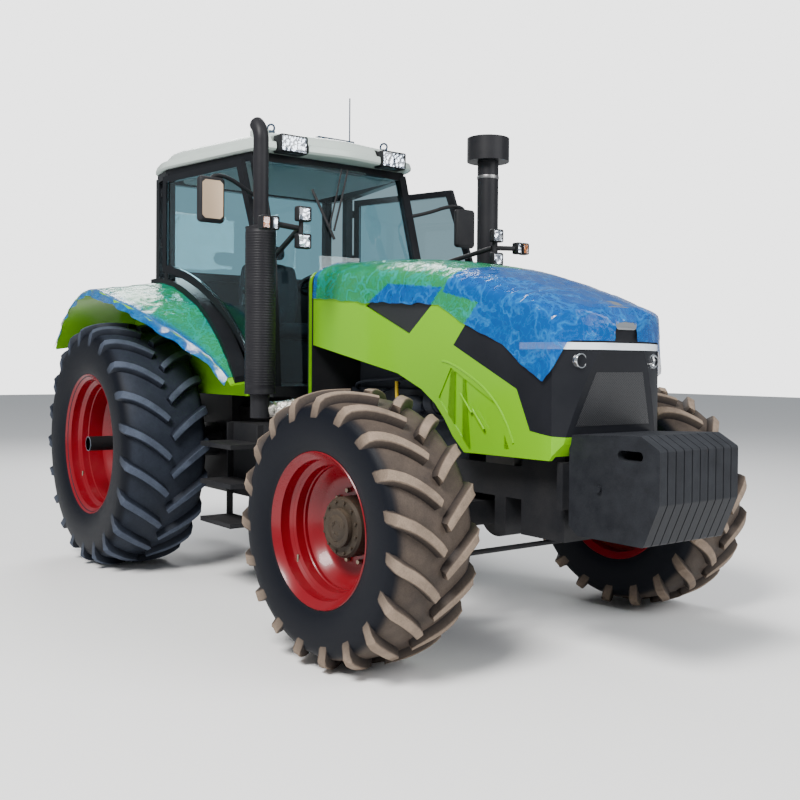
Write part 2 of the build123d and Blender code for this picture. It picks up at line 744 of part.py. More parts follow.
# Cab frame of welded box section, standing on the floor and on the fenders, with the door hinge pins
low_rear = 2150
with BuildPart() as cab_frame:
    for side in (-1, 1):
        for foot, top in side_points(side):
            add(beam(foot, top, post_size, post_size, up=(1, 0, 0)))
        rear, hinge, screen, upper = side_points(side)
        add(beam(rear[1], hinge[1], post_size, post_size))
        add(beam(hinge[1], upper[1], post_size, post_size))
        add(beam((ahead(1180), side * (cab_low_half - 40), cab_floor_z + 30),
                 (screen[0][0], side * (screen_post_y + 6), cab_floor_z + 30), post_size, post_size))
        rail_start_y = cab_low_half + fender_wall
        drop = (rail_start_y - fender_start_y) * fender_slope
        with BuildSketch(Plane(origin=(0, side * rail_start_y, 0), x_dir=(1, 0, 0), z_dir=(0, -1, 0))):
            with BuildLine():
                sheet_front, sheet_back = fender_line(-drop)
                rail_front, rail_back = fender_line(arch_rail)
                Line(sheet_front @ 0, rail_front @ 0)
                Line(sheet_back @ 1, rail_back @ 1)
            make_face()
        extrude(amount=hinge_post_y + post_size / 2 - rail_start_y, dir=(0, side, -fender_slope))
    add(beam(side_points(-1)[0][1], side_points(1)[0][1], post_size, post_size))
    add(beam(side_points(-1)[3][1], side_points(1)[3][1], post_size, post_size))
    add(beam((ahead(rear_post_x), -rear_post_y, low_rear), (ahead(rear_post_x), rear_post_y, low_rear),
             post_size, post_size))
    add(slab((ahead(rear_post_x) - 15, -cab_low_half, cab_floor_z),
             (ahead(rear_post_x) + 15, cab_low_half, low_rear)))
    with BuildSketch(Plane.XY.offset(cab_floor_z - 100)):
        with Locations((ahead(700), 0)):
            Rectangle(3000, 2400)
    extrude(amount=100, mode=Mode.SUBTRACT)
    with BuildSketch(Plane.YZ.offset(ahead(rear_post_x) - post_size / 2)):
        Rectangle(3000, 6000)
    extrude(amount=-1200, mode=Mode.SUBTRACT)
    for side in (-1, 1):
        low_y, high_y = sorted((side * (hinge_post_y + post_size / 2 - 5), side * (door_line_y + hinge_bracket)))
        for height in hinge_heights:
            add(slab((ahead(hinge_post_x) - hinge_bracket, low_y, height),
                     (ahead(hinge_post_x) + hinge_bracket, high_y, height + 24)))
            add(rod((ahead(hinge_post_x), side * door_line_y, height),
                    (ahead(hinge_post_x), side * door_line_y, height + 60), hinge_pin_radius))
    add(rear_fenders.part, mode=Mode.SUBTRACT)
cab_frame.part.label = "cab_frame"
export_step(cab_frame.part, "parts/cab_frame.step")


def screen_section(post_x, z, inset):
    """A curved strip of windscreen at one height."""
    edge = screen_post_y - post_size / 2 - seat_gap
    with BuildSketch(Plane.XY.offset(z)) as section:
        with BuildLine():
            front = ThreePointArc(
                (ahead(post_x) + glass_thickness, -edge), (ahead(post_x) + screen_bulge - inset, 0),
                (ahead(post_x) + glass_thickness, edge))
            back = ThreePointArc(
                (ahead(post_x), -edge), (ahead(post_x) + screen_bulge - inset - glass_thickness, 0),
                (ahead(post_x), edge))
            Line(front @ 0, back @ 0)
            Line(front @ 1, back @ 1)
        make_face()
    return section.sketch


# Fixed glass: curved windscreen, rear window and the small side lights behind the doors
with BuildPart() as cab_glass:
    add(screen_section(screen_post_low_x, cab_floor_z + seat_gap, 0))
    add(screen_section(screen_post_mid_x, screen_post_mid_z, 0))
    add(screen_section(screen_post_top_x + 8, cab_top_z - post_size / 2 - seat_gap, 20))
    loft(ruled=True)
    edge_gap = post_size / 2 + seat_gap
    add(slab((ahead(rear_post_x) - glass_thickness / 2, 2 - cab_low_half, low_rear + edge_gap),
             (ahead(rear_post_x) + glass_thickness / 2, cab_low_half - 2, cab_top_z - edge_gap)))
cab_glass.part.label = "cab_glass"
export_step(cab_glass.part, "parts/cab_glass.step")

# Roof
with BuildPart() as roof:
    with BuildSketch(Plane.XY.offset(cab_top_z + post_size / 2)):
        with BuildLine():
            FilletPolyline(
                (ahead(roof_rear_x), -roof_rear_y + 60), (ahead(200), -roof_rear_y - 30),
                (ahead(roof_front_x), -roof_front_y), (ahead(roof_front_x) + 90, 0),
                (ahead(roof_front_x), roof_front_y), (ahead(200), roof_rear_y + 30),
                (ahead(roof_rear_x), roof_rear_y - 60), close=True, radius=110,
            )
        make_face()
    extrude(amount=roof_thickness - post_size / 2, taper=30)
roof.part.label = "roof"
export_step(roof.part, "parts/roof.step")

# Roof hatch, vent box, lifting eyes and aerial
roof_top_z = cab_top_z + roof_thickness
with BuildPart() as roof_fittings:
    add(slab((ahead(350), -330, roof_top_z), (ahead(1000), 330, roof_top_z + 45)))
    add(slab((ahead(1020), -70, roof_top_z), (ahead(1130), 230, roof_top_z + 40)))
    add(rod((ahead(960), 300, roof_top_z + 45), (ahead(960), 300, roof_top_z + 400), 5))
roof_fittings.part.label = "roof_fittings"
export_step(roof_fittings.part, "parts/roof_fittings.step")

def door_plane(side, swing):
    """Plane of a door: local x runs from the hinge towards the screen post, local y is up."""
    dx = screen_post_low_x - hinge_post_x
    dy = screen_post_y - hinge_post_y
    heading = math.atan2(side * dy, dx) + side * math.radians(swing)
    lead = Vector(math.cos(heading), math.sin(heading), 0)
    hinge = Vector(ahead(hinge_post_x), side * door_line_y, 0)
    return Plane(origin=hinge, x_dir=lead, z_dir=lead.cross(Vector(0, 0, 1)))


def door_outline(inset):
    """Outline of a door leaf: straight front and top, cut away over the fender behind."""
    low = door_low_z + inset
    top = door_top_z - inset
    rear = hinge_bracket + 12 + inset
    foot = 1156
    neck = fender_crest[1] + arch_rail + 18
    with BuildLine() as outline:
        if inset:
            curve = ThreePointArc((foot - 0.35 * inset, low), (641 + 0.7 * inset, 1915 + 0.75 * inset),
                                  (rear, neck + inset))
        else:
            curve = ThreePointArc((foot, low), (641, 1915), (rear, neck))
        Polyline(curve @ 1, (rear, top), (1000 - inset, top),
                 (1215 - inset, screen_post_mid_z), (1275 - inset, low), curve @ 0)
    return outline.line


for side, word, swing in ((1, "left", door_open_left), (-1, "right", 0)):
    plane = door_plane(side, swing)
    with BuildPart() as door:
        with BuildSketch(plane):
            add(door_outline(0))
            make_face()
            with BuildSketch(mode=Mode.PRIVATE) as window:
                add(door_outline(door_rail))
                make_face()
            add(window.sketch, mode=Mode.SUBTRACT)
        extrude(amount=door_thickness / 2, both=True)
        for height in hinge_heights:
            eye_low = height + 24 + seat_gap
            with BuildSketch(Plane(origin=(plane.origin.X, plane.origin.Y, eye_low), x_dir=plane.x_dir,
                                   z_dir=(0, 0, 1))):
                Circle(15)
                with Locations((18, 0)):
                    Rectangle(36, 22)
            extrude(amount=30)
            with BuildSketch(Plane(origin=(plane.origin.X, plane.origin.Y, eye_low), z_dir=(0, 0, 1))):
                Circle(hinge_pin_radius + pin_gap)
            extrude(amount=30, mode=Mode.SUBTRACT)
    door.part.label = f"{word}_door"
    export_step(door.part, f"parts/{word}_door.step")
    with BuildPart() as door_glass:
        with BuildSketch(plane):
            add(door_outline(door_rail + seat_gap))
            make_face()
        extrude(amount=glass_thickness / 2, both=True)
    door_glass.part.label = f"{word}_door_glass"
    export_step(door_glass.part, f"parts/{word}_door_glass.step")

# Bonnet: one tilting shell of sides, top and nose


def hood_form(inset):
    """The bonnet as a closed form, made smaller by the inset on its sides, top and nose."""
    half = hood_half_width - inset
    nose_half = hood_nose_half_width - inset
    front = ahead(hood_front_x) - inset
    rear = ahead(hood_rear_x) - (1 if inset else 0)
    with BuildPart() as form:
        with BuildSketch(Plane(origin=(0, hood_half_width, 0), x_dir=(1, 0, 0), z_dir=(0, -1, 0))):
            with BuildLine():
                Line((rear, 1600 - inset), (rear, hood_rear_z - inset))
                Spline((rear, hood_rear_z - inset), (ahead(2535), 2100 - inset),
                       (ahead(3314), 1955 - inset), (front - 60, 1730 - inset))
                ThreePointArc((front - 60, 1730 - inset), (front - 8, 1660 - inset), (front - 20, 1560))
                Polyline((front - 20, 1560), (front - 90, 1100),
                         (ahead(3800), 1020 - inset), (ahead(3200), 1020 - inset))
                ThreePointArc((ahead(3200), 1020 - inset), (ahead(2960), 1270 - inset),
                              (ahead(2620), 1430 - inset))
                Line((ahead(2620), 1430 - inset), (rear, 1600 - inset))
            make_face()
        extrude(amount=2 * hood_half_width)
        with BuildSketch(Plane.XY.offset(900)):
            with BuildLine():
                Line((rear, -half), (rear, half))
                Spline((rear, half), (ahead(2900), half - 20), (front - 120, nose_half))
                ThreePointArc((front - 120, nose_half), (front, 0), (front - 120, -nose_half))
                Spline((front - 120, -nose_half), (ahead(2900), 20 - half), (rear, -half))
            make_face()
        extrude(amount=1400, mode=Mode.INTERSECT)
    return form.part


with BuildPart() as hood:
    add(hood_form(0))
    add(hood_form(hood_wall), mode=Mode.SUBTRACT)
    add(slab((ahead(3700), -jaw_inner_y, 900), (ahead(4100), jaw_inner_y, jaw_cut_z)), mode=Mode.SUBTRACT)
    for side in (-1, 1):
        low_y, high_y = sorted((side * 300, side * 314))
        with BuildSketch(Plane(origin=(0, high_y, 0), x_dir=(1, 0, 0), z_dir=(0, -1, 0))):
            with Locations((ahead(hood_hinge_x), hood_hinge_z)):
                Circle(24)
            with Locations((ahead(hood_hinge_x), hood_hinge_z + 31)):
                Rectangle(48, 62)
            with Locations((ahead(hood_hinge_x), hood_hinge_z)):
                Circle(hood_pin_radius + pin_gap, mode=Mode.SUBTRACT)
        extrude(amount=high_y - low_y)
hood.part.label = "hood"
export_step(hood.part, "parts/hood.step")

# Cowl between the bonnet and the windscreen
cowl_front = hood_rear_x - 28
with BuildPart() as cowl:
    add(slab((ahead(screen_post_low_x) + 160, -hood_half_width, 1180),
             (ahead(cowl_front), hood_half_width, hood_hinge_z)))
    for side in (-1, 1):
        low_y, high_y = sorted((side * 315, side * 333))
        add(slab((ahead(cowl_front) - 5, low_y, hood_hinge_z - 50),
                 (ahead(hood_hinge_x) + 20, high_y, hood_hinge_z + 20)))
        add(rod((ahead(hood_hinge_x), side * 296, hood_hinge_z),
                (ahead(hood_hinge_x), side * 320, hood_hinge_z), hood_pin_radius))
cowl.part.label = "cowl"
export_step(cowl.part, "parts/cowl.step")

# Exhaust stack on the right and intake stack on the left
with BuildPart() as exhaust_stack:
    base = (ahead(stack_x), -stack_y, 1150)
    add(rod(base, (ahead(stack_x), -stack_y, 2900), exhaust_radius))
    add(rod((ahead(stack_x), -stack_y, 1290), (ahead(stack_x), -stack_y, 2300), exhaust_shield_radius))
    add(rod((ahead(stack_x), -stack_y, 2900), (ahead(stack_x) - 70, -stack_y, 2975), exhaust_radius))
    add(rod((ahead(stack_x), -stack_y, 1200), (ahead(stack_x), -engine_half, 1200), 45))
exhaust_stack.part.label = "exhaust_stack"
export_step(exhaust_stack.part, "parts/exhaust_stack.step")

with BuildPart() as intake_stack:
    base = (ahead(stack_x), stack_y, 1150)
    add(rod(base, (ahead(stack_x), stack_y, 2925), intake_radius))
    add(rod((ahead(stack_x), stack_y, 2925), (ahead(stack_x), stack_y, 3090), cap_radius))
    add(rod((ahead(stack_x), stack_y, 1220), (ahead(stack_x), engine_half, 1220), 45))
intake_stack.part.label = "intake_stack"
export_step(intake_stack.part, "parts/intake_stack.step")

# Seat, dash and steering wheel
with BuildPart() as seat:
    add(slab((ahead(330), -270, cab_floor_z + 330), (ahead(820), 270, cab_floor_z + 450)))
    add(slab((ahead(240), -250, cab_floor_z + 400), (ahead(350), 250, cab_floor_z + 1080)))
    add(slab((ahead(380), -180, cab_floor_z), (ahead(760), 180, cab_floor_z + 330)))
seat.part.label = "seat"
export_step(seat.part, "parts/seat.step")

column_foot = (ahead(1380), 0, cab_floor_z)
column_top = (ahead(1130), 0, cab_floor_z + 700)
column = Vector(*column_top) - Vector(*column_foot)
with BuildPart() as dash:
    add(slab((ahead(1290), -200, cab_floor_z), (ahead(1450), 200, cab_floor_z + 620)))
    add(rod(column_foot, column_top, 40))
    add(cab_floor.part, mode=Mode.SUBTRACT)
dash.part.label = "dash"
export_step(dash.part, "parts/dash.step")

wheel_plane = Plane(origin=Vector(*column_top) + column.normalized() * seat_gap, z_dir=column)
with BuildPart() as steering_wheel:
    with BuildSketch(wheel_plane):
        Circle(60)
    extrude(amount=40)
    with BuildSketch(wheel_plane.offset(12)):
        Circle(205)
        Circle(178, mode=Mode.SUBTRACT)
        with PolarLocations(0, 3):
            with Locations((90, 0)):
                Rectangle(190, 30)
    extrude(amount=24)
steering_wheel.part.label = "steering_wheel"
export_step(steering_wheel.part, "parts/steering_wheel.step")

with BuildPart() as console:
    add(slab((ahead(380), -520, cab_floor_z), (ahead(1050), -330, cab_floor_z + 560)))
console.part.label = "console"
export_step(console.part, "parts/console.step")

# Mirrors on their arms
with BuildPart() as mirrors:
    for side in (-1, 1):
        head_x = ahead(1420)
        add(beam((ahead(1290), side * screen_post_y, 2560), (head_x - 60, side * 800, 2590), 26, 40))
        add(beam((head_x - 70, side * 790, 2588), (head_x, side * 960, 2600), 26, 40))
        add(beam((head_x, side * 960, 2600), (head_x, side * 960, 2500), 26, 26, up=(1, 0, 0)))
        low_y, high_y = sorted((side * 945, side * 1125))
        add(slab((head_x - 30, low_y, 2360), (head_x + 30, high_y, 2650)))
    add(cab_frame.part, mode=Mode.SUBTRACT)
mirrors.part.label = "mirrors"
export_step(mirrors.part, "parts/mirrors.step")

# Lamp arms in front of the screen posts, with their lamps
with BuildPart() as lamp_arms:
    for side in (-1, 1):
        post = (ahead(screen_post_mid_x), side * screen_post_y, 2150)
        knee = (ahead(2050), side * 763, 2285)
        tip = (ahead(2090), side * 930, 2290)
        add(rod(post, knee, 17))
        add(rod(knee, tip, 17))
        add(rod((knee[0] + 22, knee[1], 2245), (knee[0] + 22, knee[1], 2325), 14))
    add(cab_frame.part, mode=Mode.SUBTRACT)
lamp_arms.part.label = "lamp_arms"
export_step(lamp_arms.part, "parts/lamp_arms.step")

with BuildPart() as lamps:
    for side in (-1, 1):
        for height in (2365, 2205):
            low_y, high_y = sorted((side * 715, side * 811))
            add(slab((ahead(2068), low_y, height - 45), (ahead(2120), high_y, height + 45)))
        low_y, high_y = sorted((side * 931, side * 1050))
        add(slab((ahead(2060), low_y, 2250), (ahead(2125), high_y, 2335)))
        low_y, high_y = sorted((side * 310, side * 510))
        add(slab((ahead(roof_front_x) + 2, low_y, cab_top_z + 35),
                 (ahead(roof_front_x) + 60, high_y, cab_top_z + 120)))
    add(roof.part, mode=Mode.SUBTRACT)
    add(lamp_arms.part, mode=Mode.SUBTRACT)
lamps.part.label = "lamps"
export_step(lamps.part, "parts/lamps.step")

# Wiper on the windscreen
with BuildPart() as wiper:
    add(rod((ahead(1378), 0, cab_top_z + post_size / 2 - seat_gap), (ahead(1378), 0, 2780), 14))
    add(rod((ahead(1378), 0, 2792), (ahead(1532), -180, 2290), 8))
wiper.part.label = "wiper"
export_step(wiper.part, "parts/wiper.step")
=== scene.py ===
"""The farm tractor, dressed: finishes for the CAD pieces, and what the CAD leaves to this script."""

import json
import math

import bpy
from mathutils import Matrix, Vector, bvhtree, geometry, noise


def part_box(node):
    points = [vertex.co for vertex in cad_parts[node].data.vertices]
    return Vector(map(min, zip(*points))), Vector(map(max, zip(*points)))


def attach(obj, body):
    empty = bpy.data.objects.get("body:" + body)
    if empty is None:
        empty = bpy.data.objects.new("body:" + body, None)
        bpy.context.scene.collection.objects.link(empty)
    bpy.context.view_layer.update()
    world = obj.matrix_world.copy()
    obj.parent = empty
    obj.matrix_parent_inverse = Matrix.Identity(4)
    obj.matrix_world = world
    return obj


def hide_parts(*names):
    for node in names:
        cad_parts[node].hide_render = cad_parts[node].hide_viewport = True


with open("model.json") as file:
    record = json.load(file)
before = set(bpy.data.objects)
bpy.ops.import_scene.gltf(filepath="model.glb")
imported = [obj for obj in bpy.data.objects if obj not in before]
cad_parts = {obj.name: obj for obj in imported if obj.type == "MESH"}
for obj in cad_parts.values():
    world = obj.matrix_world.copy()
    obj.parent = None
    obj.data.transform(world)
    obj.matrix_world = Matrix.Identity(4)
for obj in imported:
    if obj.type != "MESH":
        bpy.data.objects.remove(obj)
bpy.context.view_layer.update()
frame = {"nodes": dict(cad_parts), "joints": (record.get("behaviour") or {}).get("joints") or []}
nodes = frame["nodes"]

# Tyres: black rubber with tall curved lugs. The lug tops carry dry soil, tan in front and bluish
# grey behind, while the flanks and the walls stay nearly clean.


def feed(tree, value, socket):
    """Joins another socket to an input, or sets the input to a plain value."""
    if isinstance(value, bpy.types.NodeSocket):
        tree.links.new(value, socket)
    elif value is not None:
        socket.default_value = value


def add_node(tree, kind, **inputs):
    """A shader node, with the inputs that are named here filled or joined."""
    node = tree.nodes.new("ShaderNode" + kind)
    for name, value in inputs.items():
        feed(tree, value, node.inputs[name.replace("_", " ")])
    return node


def sum_of(tree, operation, first, second=0.0, third=None, clamp=False):
    """The result socket of one sum on two or three values or sockets."""
    node = tree.nodes.new("ShaderNodeMath")
    node.operation = operation
    node.use_clamp = clamp
    for socket, value in zip(node.inputs, (first, second, third)):
        feed(tree, value, socket)
    return node.outputs[0]


def blend_of(tree, amount, first, second):
    """The colour between two colours, by an amount from 0 to 1."""
    node = tree.nodes.new("ShaderNodeMix")
    node.data_type = "RGBA"
    for socket, value in zip((node.inputs[0], node.inputs[6], node.inputs[7]), (amount, first, second)):
        feed(tree, value, socket)
    return node.outputs[2]


def new_group(name, inputs, outputs):
    """An empty shader node group with named sockets, and its input and output nodes."""
    group = bpy.data.node_groups.new(name, "ShaderNodeTree")
    kinds = {"V": "NodeSocketVector", "C": "NodeSocketColor", "F": "NodeSocketFloat"}
    for label, kind in inputs:
        group.interface.new_socket(name=label, in_out="INPUT", socket_type=kinds[kind])
    for label, kind in outputs:
        group.interface.new_socket(name=label, in_out="OUTPUT", socket_type=kinds[kind])
    return group, group.nodes.new("NodeGroupInput").outputs, group.nodes.new("NodeGroupOutput").inputs


def use_group(material, group, **inputs):
    """The outputs of a group placed in a material, with its inputs filled or joined."""
    node = material.node_tree.nodes.new("ShaderNodeGroup")
    node.node_tree = group
    for name, value in inputs.items():
        feed(material.node_tree, value, node.inputs[name.replace("_", " ")])
    return node.outputs


def new_finish(name, color, roughness, metallic=0.0, coat=0.0):
    """A material with a plain Principled shader, and the socket of Object coordinates in it."""
    material = bpy.data.materials.new(name)
    material.use_nodes = True
    shader = material.node_tree.nodes["Principled BSDF"]
    shader.inputs["Base Color"].default_value = (*color, 1)
    shader.inputs["Roughness"].default_value = roughness
    shader.inputs["Metallic"].default_value = metallic
    shader.inputs["Coat Weight"].default_value = coat
    place = material.node_tree.nodes.new("ShaderNodeTexCoord").outputs["Object"]
    return material, shader, place


def join(material, source, shader, name):
    """Joins a socket to a named input of the shader."""
    material.node_tree.links.new(source, shader.inputs[name])


def raise_by(material, shader, height, strength, distance):
    """Small relief on the surface, from a height."""
    bump = add_node(material.node_tree, "Bump", Strength=strength, Distance=distance, Height=height)
    join(material, bump.outputs["Normal"], shader, "Normal")


def put_on(node_name, material):
    """Puts a material on every slot of a CAD node."""
    mesh = nodes[node_name].data
    if not mesh.materials:
        mesh.materials.append(material)
    for index in range(len(mesh.materials)):
        mesh.materials[index] = material


# Dry dust, for every paint: soft patches and fine specks, thicker where a surface faces up
dusting, given, result = new_group(
    "dry_dust",
    [("Vector", "V"), ("Clean", "C"), ("Dust", "C"), ("Amount", "F"), ("Patch Size", "F"),
     ("Clean Roughness", "F")],
    [("Color", "C"), ("Roughness", "F"), ("Height", "F")],
)
patches = add_node(dusting, "TexNoise", Vector=given["Vector"], Detail=6.0, Roughness=0.62,
                   Scale=sum_of(dusting, "DIVIDE", 1.0, given["Patch Size"]))
specks = add_node(dusting, "TexNoise", Vector=given["Vector"], Detail=3.0, Scale=260)
facing = add_node(dusting, "NewGeometry")
upward = add_node(dusting, "SeparateXYZ", Vector=facing.outputs["Normal"]).outputs["Z"]
cover = sum_of(dusting, "MULTIPLY_ADD", upward, 0.22, 0.5)
cover = sum_of(dusting, "MULTIPLY", cover, patches.outputs["Fac"])
cover = sum_of(dusting, "MULTIPLY_ADD", specks.outputs["Fac"], 0.25, cover)
cover = sum_of(dusting, "SUBTRACT", cover, 0.24)
cover = sum_of(dusting, "MULTIPLY", sum_of(dusting, "MULTIPLY", cover, 2.4), given["Amount"], clamp=True)
dusting.links.new(blend_of(dusting, cover, given["Clean"], given["Dust"]), result["Color"])
dusting.links.new(sum_of(dusting, "MULTIPLY_ADD", cover, 0.5, given["Clean Roughness"], clamp=True),
                  result["Roughness"])
dusting.links.new(sum_of(dusting, "ADD", specks.outputs["Fac"], cover), result["Height"])

# Rubber that carries soil where the soil attribute says, in patches, with grit in it
tyre_wear, given, result = new_group(
    "tyre_wear",
    [("Vector", "V"), ("Mask", "F"), ("Rubber", "C"), ("Soil", "C"), ("Soil Amount", "F")],
    [("Color", "C"), ("Roughness", "F"), ("Height", "F")],
)
soil_patches = add_node(tyre_wear, "TexNoise", Vector=given["Vector"], Detail=8.0, Roughness=0.7, Scale=6)
grit = add_node(tyre_wear, "TexNoise", Vector=given["Vector"], Detail=4.0, Roughness=0.8, Scale=150)
patchy = sum_of(tyre_wear, "MULTIPLY_ADD", soil_patches.outputs["Fac"], 2.6, -0.75, clamp=True)
gritty = sum_of(tyre_wear, "MULTIPLY_ADD", grit.outputs["Fac"], 2.2, -0.6, clamp=True)
soil = sum_of(tyre_wear, "MULTIPLY", given["Mask"], sum_of(tyre_wear, "MULTIPLY_ADD", patchy, 0.5, 0.5))
soil = sum_of(tyre_wear, "MULTIPLY", soil, sum_of(tyre_wear, "MULTIPLY_ADD", gritty, 0.45, 0.62))
soil = sum_of(tyre_wear, "MULTIPLY", soil, given["Soil Amount"], clamp=True)
tyre_wear.links.new(blend_of(tyre_wear, soil, given["Rubber"], given["Soil"]), result["Color"])
tyre_wear.links.new(sum_of(tyre_wear, "MULTIPLY_ADD", soil, 0.3, 0.5), result["Roughness"])
tyre_wear.links.new(sum_of(tyre_wear, "ADD", grit.outputs["Fac"], soil), result["Height"])

left_turn = math.radians(5)
wheels = {}
for joint in frame["joints"]:
    if joint["name"].endswith("_roll"):
        wheels[joint["child"].removesuffix("_wheel")] = Vector(joint["pos_m"])


def wheel_place(wheel, across, reach, angle):
    """A point on a wheel: across towards the outside, reach from the axle, angle from the front."""
    turn = left_turn if wheel.startswith("front") else 0.0
    side = 1 if "left" in wheel else -1
    forward = Vector((math.cos(turn), math.sin(turn), 0))
    outward = Vector((-math.sin(turn), math.cos(turn), 0)) * side
    out = forward * math.cos(angle) + Vector((0, 0, math.sin(angle)))
    return wheels[wheel] + outward * across + out * reach


def shell_of_places(name, rows, closed_round=False, smooth_angle=35, ends=False):
    """A mesh of quads over rows of places, joined round and closed at its ends if asked."""
    mesh = bpy.data.meshes.new(name)
    count = len(rows[0])
    faces = []
    for row in range(len(rows) - 1):
        for step in range(count if closed_round else count - 1):
            after = (step + 1) % count
            faces.append((row * count + step, row * count + after,
                          (row + 1) * count + after, (row + 1) * count + step))
    if ends:
        faces.append(tuple(range(count)))
        faces.append(tuple(range((len(rows) - 1) * count, len(rows) * count)))
    mesh.from_pydata([place for row in rows for place in row], [], faces)
    piece = bpy.data.objects.new(name, mesh)
    bpy.context.scene.collection.objects.link(piece)
    smooth(piece, smooth_angle)
    return piece


def alone(piece):
    """Only this piece is selected and active."""
    bpy.ops.object.select_all(action="DESELECT")
    piece.select_set(True)
    bpy.context.view_layer.objects.active = piece


def keep_place():
    """Puts the active object's place, turn and scale into its mesh."""
    bpy.ops.object.transform_apply(location=True, rotation=True, scale=True)


def smooth(piece, angle=35):
    """Faces outwards, and smooth across edges flatter than the angle."""
    alone(piece)
    bpy.ops.object.mode_set(mode="EDIT")
    bpy.ops.mesh.select_all(action="SELECT")
    bpy.ops.mesh.normals_make_consistent(inside=False)
    bpy.ops.object.mode_set(mode="OBJECT")
    bpy.ops.object.shade_smooth_by_angle(angle=math.radians(angle))


def join_pieces(name, pieces):
    """Several objects made one."""
    bpy.ops.object.select_all(action="DESELECT")
    for piece in pieces:
        piece.select_set(True)
    bpy.context.view_layer.objects.active = pieces[0]
    if len(pieces) > 1:
        bpy.ops.object.join()
    pieces[0].name = name
    pieces[0].data.name = name
    return pieces[0]


def mark(piece, name, values):
    """A value for each corner place of a mesh, which its material reads."""
    layer = piece.data.attributes.new(name, "FLOAT", "POINT")
    for k, value in enumerate(values):
        layer.data[k].value = value


def carcass_profile(half, base, bead, heel):
    """Half of a tyre's cross-section from the middle of the tread to the rim: (across, reach)."""
    crown_steps = 14
    wall_steps = 6
    belly = bead + (base - bead) * 0.55
    places = []
    for index in range(crown_steps + 1):
        bend = index / crown_steps * math.pi / 2
        places.append((half * math.sin(bend) ** 0.8, belly + (base - belly) * math.cos(bend) ** 0.5))
    for index in range(1, wall_steps + 1):
        bend = index / wall_steps * math.pi / 2
        places.append((heel + (half - heel) * math.cos(bend), belly - (belly - bead) * math.sin(bend)))
    return places


def on_profile(profile, run, distance):
    """Across, reach and outward slope of a carcass at a distance from the tread's middle."""
    for k in range(len(run) - 1):
        if distance <= run[k + 1]:
            break
    share = (distance - run[k]) / (run[k + 1] - run[k])
    (a0, r0), (a1, r1) = profile[k], profile[k + 1]
    length = math.hypot(a1 - a0, r1 - r0)
    return (a0 + (a1 - a0) * share, r0 + (r1 - r0) * share, (r0 - r1) / length, (a1 - a0) / length)


